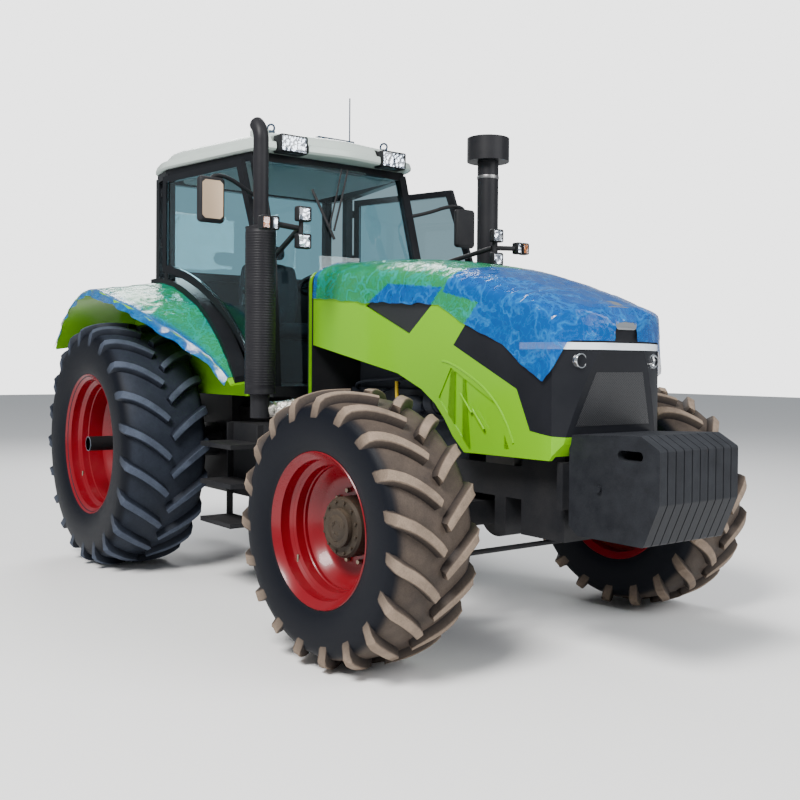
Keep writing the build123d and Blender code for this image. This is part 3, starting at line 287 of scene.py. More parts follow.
# Radius, half width, bead radius, heel and number of lugs in a row
tyre_sizes = {"front": (0.680, 0.250, 0.353, 0.195, 19), "rear": (0.885, 0.3025, 0.480, 0.233, 21)}
tread_depth = 0.042
lug_height = 0.0415
round_steps = 96
lug_steps = 13
lug_start = 0.008
lug_sink = -0.006
lug_corner = 0.003
ring_places = 6
flat_share = 0.8
carcass_soil = 0.30
rubber = (0.0035, 0.0045, 0.008)
for wheel in wheels:
    front = wheel.startswith("front")
    radius, half, bead, heel, lugs = tyre_sizes["front" if front else "rear"]
    profile = carcass_profile(half, radius - tread_depth, bead, heel)
    across_all = [(-a, r) for a, r in profile[::-1]] + profile[1:]
    rows = [[wheel_place(wheel, a, r, 2 * math.pi * k / round_steps) for k in range(round_steps)]
            for a, r in across_all]
    carcass = shell_of_places(wheel + "_carcass", rows, closed_round=True)
    mark(carcass, "soil", [max(0.0, carcass_soil - max(abs(a) / half - flat_share, 0.0) * 3)
                           for a, r in across_all for k in range(round_steps)])

    # Lugs draped over the tread: path, thickness and height change from the middle outwards
    run = [0.0]
    for (a0, r0), (a1, r1) in zip(profile, profile[1:]):
        run.append(run[-1] + math.hypot(a1 - a0, r1 - r0))
    travel = 0.72 * half
    lug_end = half * 1.22
    verts = []
    faces = []
    mask = []
    for row_side in (-1, 1):
        for index in range(lugs):
            spot = 2 * math.pi * (index + 0.25 * row_side) / lugs
            start = len(verts)
            for step in range(lug_steps):
                share = step / (lug_steps - 1)
                distance = lug_start + (lug_end - lug_start) * share
                along = travel * (0.5 - (1 - (1 - share) ** 1.5))
                slope = travel * 1.5 * math.sqrt(1 - share) / lug_end
                reach = on_profile(profile, run, distance)[1]
                fall = max(0.0, (share - 0.72) / 0.28)
                height = lug_height * (1 - fall ** 1.6) + 0.004
                top_half = 0.019 + 0.006 * share
                foot_half = top_half + 0.014
                tilt = math.hypot(1, slope)
                shoulder = height - 0.007
                top = height - 0.0005
                for offset, lift in ((-foot_half, lug_sink), (-top_half - lug_corner, shoulder),
                                     (-top_half + lug_corner, top), (top_half - lug_corner, top),
                                     (top_half + lug_corner, shoulder), (foot_half, lug_sink)):
                    a, r, la, lr = on_profile(profile, run, max(0.001, distance + offset * slope / tilt))
                    a += la * lift
                    r += lr * lift
                    verts.append(wheel_place(wheel, row_side * min(a, half - 0.001), min(r, radius - 0.0015),
                                             spot - (along + offset / tilt) / reach))
                fade = 1.0 - max(0.0, (share - 0.75) * 3)
                mask.extend((0.05, 0.3 * fade, fade, fade, 0.3 * fade, 0.05))
            for step in range(lug_steps - 1):
                for k in range(ring_places - 1):
                    a = start + step * ring_places + k
                    faces.append((a, a + 1, a + 1 + ring_places, a + ring_places))
            faces.append(tuple(range(start, start + ring_places)))
            last = start + (lug_steps - 1) * ring_places
            faces.append(tuple(range(last + ring_places - 1, last - 1, -1)))
    lug_mesh = bpy.data.meshes.new(wheel + "_lugs")
    lug_mesh.from_pydata(verts, [], faces)
    lug_piece = bpy.data.objects.new(wheel + "_lugs", lug_mesh)
    bpy.context.scene.collection.objects.link(lug_piece)
    smooth(lug_piece, 30)
    mark(lug_piece, "soil", mask)
    tyre = join_pieces(wheel + "_lugged_tyre", [carcass, lug_piece])

    tyre_material, shader, place = new_finish(wheel + "_rubber", rubber, 0.55)
    shader.inputs["Specular IOR Level"].default_value = 0.12
    mask_node = add_node(tyre_material.node_tree, "Attribute")
    mask_node.attribute_name = "soil"
    worn = use_group(tyre_material, tyre_wear, Vector=place, Mask=mask_node.outputs["Fac"],
                     Rubber=(*rubber, 1),
                     Soil=(0.27, 0.205, 0.155, 1) if front else (0.085, 0.105, 0.15, 1),
                     Soil_Amount=1.25 if front else 1.0)
    join(tyre_material, worn["Color"], shader, "Base Color")
    join(tyre_material, worn["Roughness"], shader, "Roughness")
    raise_by(tyre_material, shader, worn["Height"], 0.5, 0.002)
    tyre.data.materials.clear()
    tyre.data.materials.append(tyre_material)
    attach(tyre, wheel + "_wheel")
    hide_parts(wheel + "_tyre")

# Rims: pressed steel in crimson paint: curled flanges, bead seats, a stepped well and a dished
# disc. The hubs they are bolted to are black in front and blue-grey discs on the rear bar axles.


def dusty_paint(name, color, roughness, dust, amount, patch=0.25, metallic=0.0, coat=0.0, relief=0.15):
    """Paint on metal or plastic with dry dust on it."""
    material, shader, place = new_finish(name, color, roughness, metallic, coat)
    shader.inputs["Specular IOR Level"].default_value = 0.32 if max(color) > 0.1 else 0.14
    dusted = use_group(material, dusting, Vector=place, Clean=(*color, 1), Dust=(*dust, 1),
                       Amount=amount, Patch_Size=patch, Clean_Roughness=roughness)
    join(material, dusted["Color"], shader, "Base Color")
    join(material, dusted["Roughness"], shader, "Roughness")
    raise_by(material, shader, dusted["Height"], relief, 0.0006)
    return material


def outline_at(name, places, fill="NGON"):
    """A closed outline through these places: a circle primitive drawn out to them."""
    bpy.ops.object.select_all(action="DESELECT")
    bpy.ops.mesh.primitive_circle_add(vertices=len(places), radius=1, fill_type=fill)
    piece = bpy.context.object
    piece.name = name
    for vertex, place in zip(piece.data.vertices, places):
        vertex.co = place
    return piece


def turned(name, places, centre, axis, steps=round_steps):
    """A closed shell spun from an outline round an axis."""
    piece = outline_at(name, places, fill="NOTHING")
    alone(piece)
    bpy.ops.object.mode_set(mode="EDIT")
    bpy.ops.mesh.select_all(action="SELECT")
    bpy.ops.mesh.spin(steps=steps, angle=2 * math.pi, center=centre, axis=axis)
    bpy.ops.mesh.select_all(action="SELECT")
    bpy.ops.mesh.remove_doubles(threshold=0.00005)
    bpy.ops.mesh.normals_make_consistent(inside=False)
    bpy.ops.object.mode_set(mode="OBJECT")
    bpy.ops.object.shade_smooth_by_angle(angle=math.radians(40))
    return piece


def turned_shell(wheel, name, profile, steps=round_steps):
    """A ring turned about a wheel's axle from a profile of (across, reach) places."""
    outward = wheel_place(wheel, 1, 0, 0) - wheel_place(wheel, 0, 0, 0)
    return turned(name, [wheel_place(wheel, a, r, 0) for a, r in profile], wheels[wheel], outward, steps)


def bolt_ring(wheel, name, across, reach, count, size, material):
    """Hexagon bolts on a circle round the axle."""
    bolts = []
    for index in range(count):
        angle = 2 * math.pi * (index + 0.5) / count
        place = wheel_place(wheel, across, reach, angle)
        out = (wheel_place(wheel, across + 0.01, reach, angle) - place).normalized()
        bpy.ops.mesh.primitive_cylinder_add(
            vertices=6, radius=size, depth=size * 1.6, location=place,
            rotation=out.to_track_quat("Z", "Y").to_euler())
        keep_place()
        bolts.append(bpy.context.object)
    ring = join_pieces(name, bolts)
    ring.data.materials.clear()
    ring.data.materials.append(material)
    bevel = ring.modifiers.new("rounded", "BEVEL")
    bevel.width = size * 0.15
    bevel.segments = 2
    alone(ring)
    bpy.ops.object.modifier_apply(modifier="rounded")
    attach(ring, wheel + "_wheel")


road_dust = (0.30, 0.26, 0.21)
rim_paint = dusty_paint("crimson_rim_paint", (0.17, 0.0004, 0.006), 0.26, (0.20, 0.03, 0.03), 0.2, coat=0.12)
front_hub_paint = dusty_paint("black_hub_paint", (0.022, 0.018, 0.015), 0.42, (0.12, 0.09, 0.06), 0.6)
rear_hub_paint = dusty_paint("grey_hub_paint", (0.10, 0.125, 0.17), 0.45, road_dust, 0.3)
bar_black = dusty_paint("black_bar_paint", (0.006, 0.006, 0.007), 0.4, (0.05, 0.05, 0.05), 0.2)
bolt_steel = dusty_paint("zinc_bolt_steel", (0.30, 0.27, 0.20), 0.35, road_dust, 0.4, metallic=0.9)
# Flange radius, half width, disc's place across and radius of its hole
rim_sizes = {"front": (0.381, 0.231, -0.012, 0.1503), "rear": (0.508, 0.269, -0.060, 0.120)}
for wheel in wheels:
    front = wheel.startswith("front")
    flange, half, disc, bore = rim_sizes["front" if front else "rear"]
    seat = flange - 0.0283
    rim = turned_shell(wheel, wheel + "_pressed_rim", [
        (half, flange - 0.004), (half - 0.004, flange), (half - 0.010, flange - 0.002),
        (half - 0.014, flange - 0.010), (half - 0.030, seat), (half - 0.075, seat - 0.006),
        (half - 0.095, seat - 0.030), (half - 0.150, seat - 0.036), (disc + 0.03, seat - 0.036),
        (-half + 0.150, seat - 0.036), (-half + 0.095, seat - 0.030), (-half + 0.075, seat - 0.006),
        (-half + 0.030, seat), (-half + 0.014, flange - 0.010), (-half + 0.004, flange),
        (-half, flange - 0.004), (-half + 0.020, seat - 0.012), (-half + 0.085, seat - 0.016),
        (-half + 0.105, seat - 0.042), (disc - 0.016, seat - 0.050), (disc - 0.016, bore),
        (disc, bore), (disc, seat - 0.115), (disc + 0.020, seat - 0.090), (disc + 0.052, seat - 0.072),
        (disc + 0.070, seat - 0.049), (half - 0.155, seat - 0.049), (half - 0.150, seat - 0.044),
        (half - 0.105, seat - 0.042), (half - 0.085, seat - 0.016), (half - 0.055, seat - 0.011),
        (half - 0.032, seat - 0.012), (half - 0.014, flange - 0.016),
    ])
    rim.data.materials.append(rim_paint)
    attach(rim, wheel + "_wheel")
    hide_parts(wheel + "_rim")
    put_on(wheel + "_hub", front_hub_paint if front else rear_hub_paint)
    bolt_ring(wheel, wheel + "_wheel_nuts", disc + 0.012 if front else -0.024, bore + 0.028, 12, 0.013,
              bolt_steel)
    if front:
        bolt_ring(wheel, wheel + "_cover_bolts", 0.084, 0.126, 12, 0.008, front_hub_paint)
        cap = turned_shell(wheel, wheel + "_hub_cap", [
            (0.104, 0.0002), (0.104, 0.030), (0.109, 0.034), (0.109, 0.060), (0.104, 0.066),
            (0.108, 0.074), (0.107, 0.090), (0.100, 0.0955), (0.082, 0.0955), (0.082, 0.0002)], 64)
        cap.data.materials.append(front_hub_paint)
        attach(cap, wheel + "_wheel")
        boss_ring = []
        boss_count = 3
        for index in range(boss_count):
            angle = 2 * math.pi * index / boss_count + 0.4
            place = wheel_place(wheel, 0.106, 0.045, angle)
            out = (wheel_place(wheel, 0.116, 0.045, angle) - place).normalized()
            bpy.ops.mesh.primitive_torus_add(
                major_radius=0.019, minor_radius=0.004, major_segments=24, minor_segments=8, location=place,
                rotation=out.to_track_quat("Z", "Y").to_euler())
            keep_place()
            boss_ring.append(bpy.context.object)
        bosses = join_pieces(wheel + "_cap_bosses", boss_ring)
        bosses.data.materials.append(front_hub_paint)
        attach(bosses, wheel + "_wheel")
    else:
        bar = turned_shell(wheel, wheel + "_bar_axle", [
            (0.091, 0.0002), (0.091, 0.0525), (0.264, 0.0525), (0.268, 0.048), (0.268, 0.0002)], 48)
        bar.data.materials.append(bar_black)
        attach(bar, wheel + "_wheel")
    valve_place = wheel_place(wheel, half - 0.09, seat - 0.022, math.radians(215))
    bpy.ops.mesh.primitive_cylinder_add(vertices=16, radius=0.006, depth=0.05, location=valve_place)
    valve = bpy.context.object
    valve.name = wheel + "_valve"
    keep_place()
    valve.data.materials.append(bolt_steel)
    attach(valve, wheel + "_wheel")

# Chassis: castings and pressings below the bonnet and the cab, in satin black paint with a little
# road dust. The power take-off shaft is bright steel. Side tanks, dash and console are black plastic.
chassis_paint = dusty_paint("black_chassis_paint", (0.010, 0.011, 0.014), 0.40, (0.09, 0.085, 0.08), 0.32)
for name in ("drivetrain", "front_frame", "front_axle", "drawbar", "steps", "lower_links", "lift_arms",
             "lift_rods", "left_knuckle", "right_knuckle", "tie_rod", "lamp_arms", "cab_floor"):
    put_on(name, chassis_paint)
weight_paint = dusty_paint("black_weight_paint", (0.010, 0.011, 0.014), 0.40, (0.06, 0.065, 0.075), 0.4,
                           patch=0.1, relief=0.4)
put_on("front_weights", weight_paint)
shaft_steel = dusty_paint("shaft_steel", (0.35, 0.35, 0.37), 0.32, road_dust, 0.3, metallic=1.0)
put_on("pto_shaft", shaft_steel)
moulding = dusty_paint("black_moulding", (0.012, 0.013, 0.016), 0.5, (0.08, 0.075, 0.07), 0.3)
for name in ("side_tanks", "dash", "console"):
    put_on(name, moulding)


def ahead(distance):
    """Where a distance ahead of the rear axle lies in the frame."""
    return wheels["rear_right"].x + distance


def fit_out(piece, body, material, angle=35):
    """Gives a finished piece its material, its smooth faces and the body it rides on."""
    alone(piece)
    keep_place()
    piece.data.materials.clear()
    piece.data.materials.append(material)
    bpy.ops.object.shade_smooth_by_angle(angle=math.radians(angle))
    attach(piece, body)
    return piece


def rounded_box(name, low, high, radius, segments=3):
    """A box between two corners with rounded edges."""
    low = Vector(low)
    high = Vector(high)
    bpy.ops.object.select_all(action="DESELECT")
    bpy.ops.mesh.primitive_cube_add(size=1, location=(low + high) / 2)
    piece = bpy.context.object
    piece.name = name
    piece.scale = high - low
    keep_place()
    bevel = piece.modifiers.new("rounded", "BEVEL")
    bevel.width = radius
    bevel.segments = segments
    bpy.ops.object.modifier_apply(modifier="rounded")
    return piece


def tube(name, places, radius, smooth_bends=True, sides=12):
    """A round bar along a line of places."""
    curve = bpy.data.curves.new(name, "CURVE")
    curve.dimensions = "3D"
    curve.bevel_depth = radius
    curve.bevel_resolution = sides // 4
    curve.use_fill_caps = True
    line = curve.splines.new("NURBS" if smooth_bends else "POLY")
    line.points.add(len(places) - 1)
    for point, place in zip(line.points, places):
        point.co = (*place, 1)
    if smooth_bends:
        line.order_u = 3
        line.use_endpoint_u = True
    holder = bpy.data.objects.new(name, curve)
    bpy.context.scene.collection.objects.link(holder)
    alone(holder)
    bpy.ops.object.convert(target="MESH")
    piece = bpy.context.object
    smooth(piece, 50)
    return piece


def extruded(name, places, travel):
    """A closed bar: an outline drawn along a line."""
    piece = outline_at(name, places)
    alone(piece)
    bpy.ops.object.mode_set(mode="EDIT")
    bpy.ops.mesh.select_all(action="SELECT")
    bpy.ops.mesh.extrude_region_move(TRANSFORM_OT_translate={"value": travel})
    bpy.ops.mesh.select_all(action="SELECT")
    bpy.ops.mesh.normals_make_consistent(inside=False)
    bpy.ops.object.mode_set(mode="OBJECT")
    return piece


def cut_with(piece, other, operation, keep=False):
    """Cuts or trims a closed piece with another."""
    modifier = piece.modifiers.new("cut", "BOOLEAN")
    modifier.solver = "EXACT"
    modifier.operation = operation
    modifier.object = other
    alone(piece)
    bpy.ops.object.modifier_apply(modifier="cut")
    if not keep:
        bpy.data.objects.remove(other)
    return piece


def copy_of(piece, name):
    """A second piece with its own mesh."""
    twin = piece.copy()
    twin.data = piece.data.copy()
    twin.name = name
    bpy.context.scene.collection.objects.link(twin)
    return twin


# Engine: black block with filters on both sides. On the right are alternator, starter, pump, fuel
# and oil lines, a yellow dipstick and a foil-wrapped pipe to the exhaust. The grey cooling pack
# stands behind the nose.
engine_paint = dusty_paint("dark_engine_paint", (0.016, 0.020, 0.030), 0.4, (0.08, 0.085, 0.095), 0.45)
put_on("engine", engine_paint)
fins = dusty_paint("cooler_fins", (0.06, 0.065, 0.07), 0.5, road_dust, 0.4, metallic=0.5)
put_on("radiator", fins)
for name, place, radius, length in (
        ("oil_filter", (1.93, -0.245, 1.18), 0.052, 0.20), ("fuel_filter", (2.08, -0.245, 1.16), 0.045, 0.16),
        ("left_oil_filter", (2.3, 0.245, 1.15), 0.052, 0.20)):
    x, y, z = place
    outline = [(ahead(x), y, z - length / 2), (ahead(x) + radius * 0.8, y, z - length / 2),
               (ahead(x) + radius, y, z - length / 2 + 0.012), (ahead(x) + radius, y, z + length / 2 - 0.03),
               (ahead(x) + radius * 1.12, y, z + length / 2 - 0.026),
               (ahead(x) + radius * 1.12, y, z + length / 2), (ahead(x), y, z + length / 2)]
    fit_out(turned(name, outline, (ahead(x), y, z), (0, 0, 1), 40), "chassis", engine_paint)
machine_shape = ((-0.5, 0.0), (-0.5, 0.7), (-0.4, 1.0), (0.15, 1.0), (0.2, 0.9), (0.35, 0.9), (0.5, 0.5),
                 (0.5, 0.0))
for name, x, z, radius, length in (
        ("alternator", 2.78, 1.27, 0.075, 0.13), ("starter", 2.25, 1.02, 0.055, 0.24),
        ("pump_body", 2.52, 1.24, 0.06, 0.26)):
    y = -0.27
    outline = [(ahead(x) + length * a, y, z + radius * r) for a, r in machine_shape]
    fit_out(turned(name, outline, (ahead(x), y, z), (1, 0, 0), 40), "chassis", engine_paint)
lines = []
for x0, z0, x1, z1 in ((1.85, 1.32, 2.5, 1.40), (1.95, 1.05, 2.6, 1.10), (2.3, 1.36, 2.9, 1.33),
                       (2.5, 1.02, 3.0, 1.22), (1.8, 1.22, 2.2, 1.30)):
    route = [(ahead(x0), -0.2, z0), (ahead(x0) + 0.03, -0.285, z0 + 0.05), (ahead(x1), -0.285, z1),
             (ahead(x1), -0.2, z1 + 0.03)]
    lines.append(tube("line", route, 0.009))
fit_out(join_pieces("fuel_and_oil_lines", lines), "chassis", engine_paint)
wrap, wrap_shader, place = new_finish("foil_wrap", (0.55, 0.53, 0.48), 0.32, metallic=0.9)
wrap_noise = add_node(wrap.node_tree, "TexNoise", Vector=place, Detail=5.0, Roughness=0.65, Scale=28)
# The colour follows the crumple noise, darker in the hollows and lighter on the ridges: painted shade and
# painted highlight on the foil.
join(wrap, blend_of(wrap.node_tree, wrap_noise.outputs["Fac"], (0.25, 0.23, 0.20, 1), (0.85, 0.83, 0.78, 1)),
     wrap_shader, "Base Color")
raise_by(wrap, wrap_shader, wrap_noise.outputs["Fac"], 0.9, 0.012)
stack_x = ahead(1.836)
pipe_route = [(ahead(2.05), -0.17, 1.25), (ahead(2.05), -0.36, 1.25), (ahead(1.98), -0.55, 1.24),
              (ahead(1.90), -0.72, 1.21), (stack_x, -0.86, 1.20)]
pipe = tube("wrapped_pipe", pipe_route, 0.045, sides=32)
alone(pipe)
crumple = bpy.data.textures.new("crumple", "CLOUDS")
crumple.noise_scale = 0.035
sub = pipe.modifiers.new("fine", "SUBSURF")
sub.levels = sub.render_levels = 2
push = pipe.modifiers.new("crumpled", "DISPLACE")
push.texture = crumple
push.strength = 0.022
bpy.ops.object.modifier_apply(modifier="fine")
bpy.ops.object.modifier_apply(modifier="crumpled")
fit_out(pipe, "chassis", wrap, 60)
dip_yellow = dusty_paint("dipstick_yellow", (0.75, 0.50, 0.01), 0.35, road_dust, 0.2)
stick_x = ahead(2.42)
dipstick = tube("dipstick", [(stick_x, -0.30, 1.20), (stick_x, -0.305, 1.32), (stick_x, -0.305, 1.38)], 0.011)
fit_out(dipstick, "chassis", dip_yellow)

# Bonnet: lime green pressed panels arched across, with a vent window on each side, a raised crease
# and a scoop low down. It narrows and falls to the nose, and tilts up as one.
bonnet_stations = ((1.70, 0.450, 1.985, 2.150), (2.50, 0.448, 1.950, 2.105), (3.10, 0.434, 1.885, 2.020),
                   (3.52, 0.410, 1.765, 1.900), (3.93, 0.390, 1.610, 1.745))
bonnet_rear = bonnet_stations[0][0]
bonnet_front = bonnet_stations[-1][0]
nose_half = bonnet_stations[-1][1]
nose_depth = 0.12
brow_back = 0.06
brow_low = 1.66
brow_rise = 0.07
strip_low = 1.56
strip_top = strip_low + 0.034
sheet_metal = 0.012


def bonnet_at(x):
    """Half width, shoulder and crown of the bonnet at a distance ahead of the rear axle."""
    for k in range(len(bonnet_stations) - 1):
        if x <= bonnet_stations[k + 1][0]:
            break
    first = bonnet_stations[max(k - 1, 0)]
    start, end = bonnet_stations[k], bonnet_stations[k + 1]
    last = bonnet_stations[min(k + 2, len(bonnet_stations) - 1)]
    width = end[0] - start[0]
    t = (x - start[0]) / width
    values = []
    for i in (1, 2, 3):
        rise_in = (end[i] - first[i]) / (end[0] - first[0]) * width
        rise_out = (last[i] - start[i]) / (last[0] - start[0]) * width
        values.append(start[i] * (2 * t**3 - 3 * t**2 + 1) + rise_in * (t**3 - 2 * t**2 + t)
                      + end[i] * (3 * t**2 - 2 * t**3) + rise_out * (t**3 - t**2))
    return values


def bonnet_arch(x, inset=0.0, steps=18):
    """The bonnet's arch at a distance ahead: places (across, up) from the right to the left shoulder."""
    half, shoulder, crown = bonnet_at(x)
    half -= inset
    shoulder -= inset
    crown -= inset
    bend = shoulder + 0.8 * (crown - shoulder)
    places = geometry.interpolate_bezier((-half, shoulder, 0), (-half, bend, 0), (-0.6 * half, crown, 0),
                                         (0, crown, 0), steps)
    right = [(p.x, p.y) for p in places]
    return right + [(-y, z) for y, z in right[-2::-1]]


def bonnet_form(name, inset):
    """The bonnet as a closed form, smaller by the inset: its arches, its side view and its plan."""
    front = bonnet_front - inset
    rear = bonnet_rear + (0.0 if inset <= 0 else -0.001)
    row_steps = 36
    foot = 0.98
    rows = []
    for k in range(row_steps + 1):
        x = bonnet_rear + (bonnet_front - bonnet_rear) * k / row_steps
        arch = bonnet_arch(x, inset)
        half = arch[-1][0]
        at_x = ahead(rear if k == 0 else front if k == row_steps else min(x, front))
        rows.append([(at_x, -half, foot)] + [(at_x, y, z) for y, z in arch] + [(at_x, half, foot)])
    form = shell_of_places(name, rows, closed_round=True, ends=True)
    bend_x = front - brow_back
    view = [(rear, 1.60 - inset), (rear, 2.25), (bend_x, 2.25), (bend_x, brow_low + brow_rise - inset)]
    bend_steps = 8
    for k in range(1, bend_steps + 1):
        bend = k / bend_steps * math.pi / 2
        view.append((bend_x + 0.052 * math.sin(bend), brow_low - inset + brow_rise * math.cos(bend)))
    view += [(front - 0.02, strip_low), (front - 0.09, 1.10), (3.80, 1.02 - inset), (3.20, 1.02 - inset),
             (3.11, 1.10 - inset), (3.04, 1.19 - inset), (2.96, 1.27 - inset), (2.84, 1.345 - inset),
             (2.62, 1.43 - inset)]
    cut_with(form, side_bar(*view), "INTERSECT")
    nose = nose_half - inset
    plan_steps = 24
    plan = [(rear - 0.001, -0.5), (3.2, -0.5), (front - nose_depth, -nose)]
    for k in range(1, plan_steps):
        across = -nose + 2 * nose * k / plan_steps
        plan.append((front - nose_depth * (across / nose) ** 2, across))
    plan += [(front - nose_depth, nose), (3.2, 0.5), (rear - 0.001, 0.5)]
    cut_with(form, extruded("plan", [(ahead(x), y, 0.9) for x, y in plan], (0, 0, 1.4)), "INTERSECT")
    return form


def side_bar(*corners):
    """A bar right across the bonnet, from its corners in the side view."""
    beyond = 0.6
    return extruded("side_bar", [(ahead(x), -beyond, z) for x, z in corners], (0, 2 * beyond, 0))


nose_corners = ((3.109, 1.586), (3.301, 1.806), (3.02, 1.872), (3.25, 2.30), (4.06, 2.30), (4.06, 1.13),
                (3.866, 1.13), (3.672, 1.158), (3.579, 1.362))
vent_corners = ((2.292, 1.826), (2.527, 1.945), (3.012, 1.90), (2.925, 1.806), (2.725, 1.651))
scoop_corners = ((2.99, 1.30), (3.09, 1.465), (3.42, 1.29), (3.53, 1.06), (3.24, 1.04))
outer = bonnet_form("bonnet_outer", 0.0)
inner = bonnet_form("bonnet_inner", sheet_metal)
shell = cut_with(copy_of(outer, "bonnet_shell"), inner, "DIFFERENCE", keep=True)
nose = cut_with(copy_of(shell, "bonnet_nose"), side_bar(*nose_corners), "INTERSECT")
bonnet = cut_with(shell, side_bar(*nose_corners), "DIFFERENCE")
cut_with(bonnet, side_bar(*vent_corners), "DIFFERENCE")
dip = cut_with(copy_of(outer, "dip"), bonnet_form("dip_floor", 0.007), "DIFFERENCE")
cut_with(dip, side_bar(*scoop_corners), "INTERSECT")
cut_with(bonnet, dip, "DIFFERENCE")
lime_paint = dusty_paint("lime_green_paint", (0.165, 0.45, 0.0), 0.24, (0.20, 0.38, 0.02), 0.10, coat=0.15,
                         relief=0.04)
fit_out(bonnet, "hood_body", lime_paint, 12)
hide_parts("hood")
scoop_crease = ((3.02, 1.50), (3.10, 1.498), (3.47, 1.30), (3.56, 1.09))
for side in (-1, 1):
    ribs = []
    for x, z in ((3.17, 1.33), (3.27, 1.25)):
        ends = [(ahead(x), side * 0.434, z), (ahead(x + 0.09), side * 0.43, z - 0.10)]
        ribs.append(tube("rib", ends, 0.006, smooth_bends=False))
    crease_line = [(ahead(x), side * (bonnet_at(x)[0] - 0.001), z) for x, z in scoop_crease]
    ribs.append(tube("crease", crease_line, 0.007))
    fit_out(join_pieces(f"scoop_ribs_{'left' if side > 0 else 'right'}", ribs), "hood_body", lime_paint)

# Cowl: an arched black bulkhead that closes the bonnet's rear, with a lime green edge strip. Its
# top stays under the bonnet's hinge, so that the rear edge swings past it.
cowl_top = 2.072
cowl_low = 1.19
cowl_arches = []
for name, rear, front, inset in (("cowl_arch", 1.632, 1.690, 0.0), ("cowl_strip", 1.650, 1.682, -0.003)):
    arch = [(y, min(z, cowl_top - inset)) for y, z in bonnet_arch(bonnet_rear, inset)]
    half = arch[-1][0]
    ring = [(-half, cowl_low)] + arch + [(half, cowl_low)]
    rows = [[Vector((ahead(x), y, z)) for y, z in ring] for x in (rear, front)]
    cowl_arches.append(shell_of_places(name, rows, closed_round=True, ends=True))
fit_out(cowl_arches[0], "chassis", moulding)
fit_out(cowl_arches[1], "chassis", lime_paint)
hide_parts("cowl")

# Nose and vents: the black moulding round the nose, with a fine lozenge mesh in its front and the
# same mesh in panels behind the bonnet's windows
mesh_black, mesh_shader, place = new_finish("black_mesh", (0.008, 0.009, 0.012), 0.45)
tree = mesh_black.node_tree
axes = add_node(tree, "SeparateXYZ", Vector=place)
level = sum_of(tree, "ADD", axes.outputs["X"], axes.outputs["Y"])
wires = []
for direction in (-1.0, 1.0):
    slant = sum_of(tree, "MULTIPLY_ADD", axes.outputs["Z"], direction, level)
    wave = sum_of(tree, "SINE", sum_of(tree, "MULTIPLY", slant, 240.0))
    wires.append(sum_of(tree, "ABSOLUTE", wave))
holes = sum_of(tree, "MINIMUM", wires[0], wires[1])
wire = sum_of(tree, "LESS_THAN", holes, 0.38)
# The holes between the wires are painted near black: a painted shade for the dark space behind the mesh.
wire_color = blend_of(tree, wire, (0.0015, 0.0015, 0.002, 1), (0.035, 0.038, 0.045, 1))
join(mesh_black, wire_color, mesh_shader, "Base Color")
raise_by(mesh_black, mesh_shader, wire, 0.8, 0.003)
grille_paint = dusty_paint("black_grille_moulding", (0.009, 0.010, 0.013), 0.35, (0.05, 0.05, 0.06), 0.2)
fit_out(nose, "hood_body", grille_paint, 12)
vent = cut_with(copy_of(inner, "vent_mesh"), bonnet_form("vent_back", sheet_metal + 0.004), "DIFFERENCE")
lap = 0.012
behind_vent = [(x + (lap if x > 2.65 else -lap), z + (lap if z > 1.815 else -lap)) for x, z in vent_corners]
cut_with(vent, side_bar(*behind_vent), "INTERSECT")
fit_out(vent, "hood_body", mesh_black)
front_mesh = cut_with(bonnet_form("front_mesh", -0.0015), outer, "DIFFERENCE", keep=True)
window_corners = ((-0.27, 1.185), (-0.17, 1.45), (0.17, 1.45), (0.27, 1.185))
window = extruded("window", [(ahead(3.7), y, z) for y, z in window_corners], (0.4, 0, 0))
cut_with(front_mesh, window, "INTERSECT")
fit_out(front_mesh, "hood_body", mesh_black)

# Brow: a bright light strip round the nose under its rolled edge. Two headlamps sit below the
# strip and a chromed tip above it.
chrome = new_finish("bright_trim", (0.82, 0.84, 0.86), 0.10, metallic=1.0)[0]
strip = cut_with(bonnet_form("light_strip", -0.004), copy_of(outer, "keep_out"), "DIFFERENCE")
strip_zone = rounded_box("strip_zone", (ahead(3.60), -0.5, strip_low), (ahead(4.0), 0.5, strip_top), 0.001)
cut_with(strip, strip_zone, "INTERSECT")
strip_clear, strip_shader, place = new_finish("strip_lens", (0.80, 0.86, 0.92), 0.10, coat=1.0)
strip_shader.inputs["Emission Color"].default_value = (0.9, 0.95, 1.0, 1)
strip_shader.inputs["Emission Strength"].default_value = 0.25
fit_out(strip, "hood_body", strip_clear)
tip = cut_with(bonnet_form("bright_tip", -0.011), copy_of(outer, "keep_out"), "DIFFERENCE")
tip_zone = rounded_box("tip_zone", (ahead(3.79), -0.075, 1.66), (ahead(3.96), 0.075, 1.90), 0.02)
cut_with(tip, tip_zone, "INTERSECT")
fit_out(tip, "hood_body", chrome)
bpy.data.objects.remove(outer)
bpy.data.objects.remove(inner)
for side, word in ((-1, "right"), (1, "left")):
    x, y, z = ahead(3.856), side * 0.265, 1.505
    profile = [(-0.03, 0.0), (-0.03, 0.034), (0.026, 0.038), (0.030, 0.036), (0.030, 0.031), (0.016, 0.028),
               (0.006, 0.016), (0.002, 0.0)]
    bowl = turned(f"headlamp_{word}", [(x + a, y, z + r) for a, r in profile], (x, y, z), (1, 0, 0), 40)
    fit_out(bowl, "hood_body", chrome)

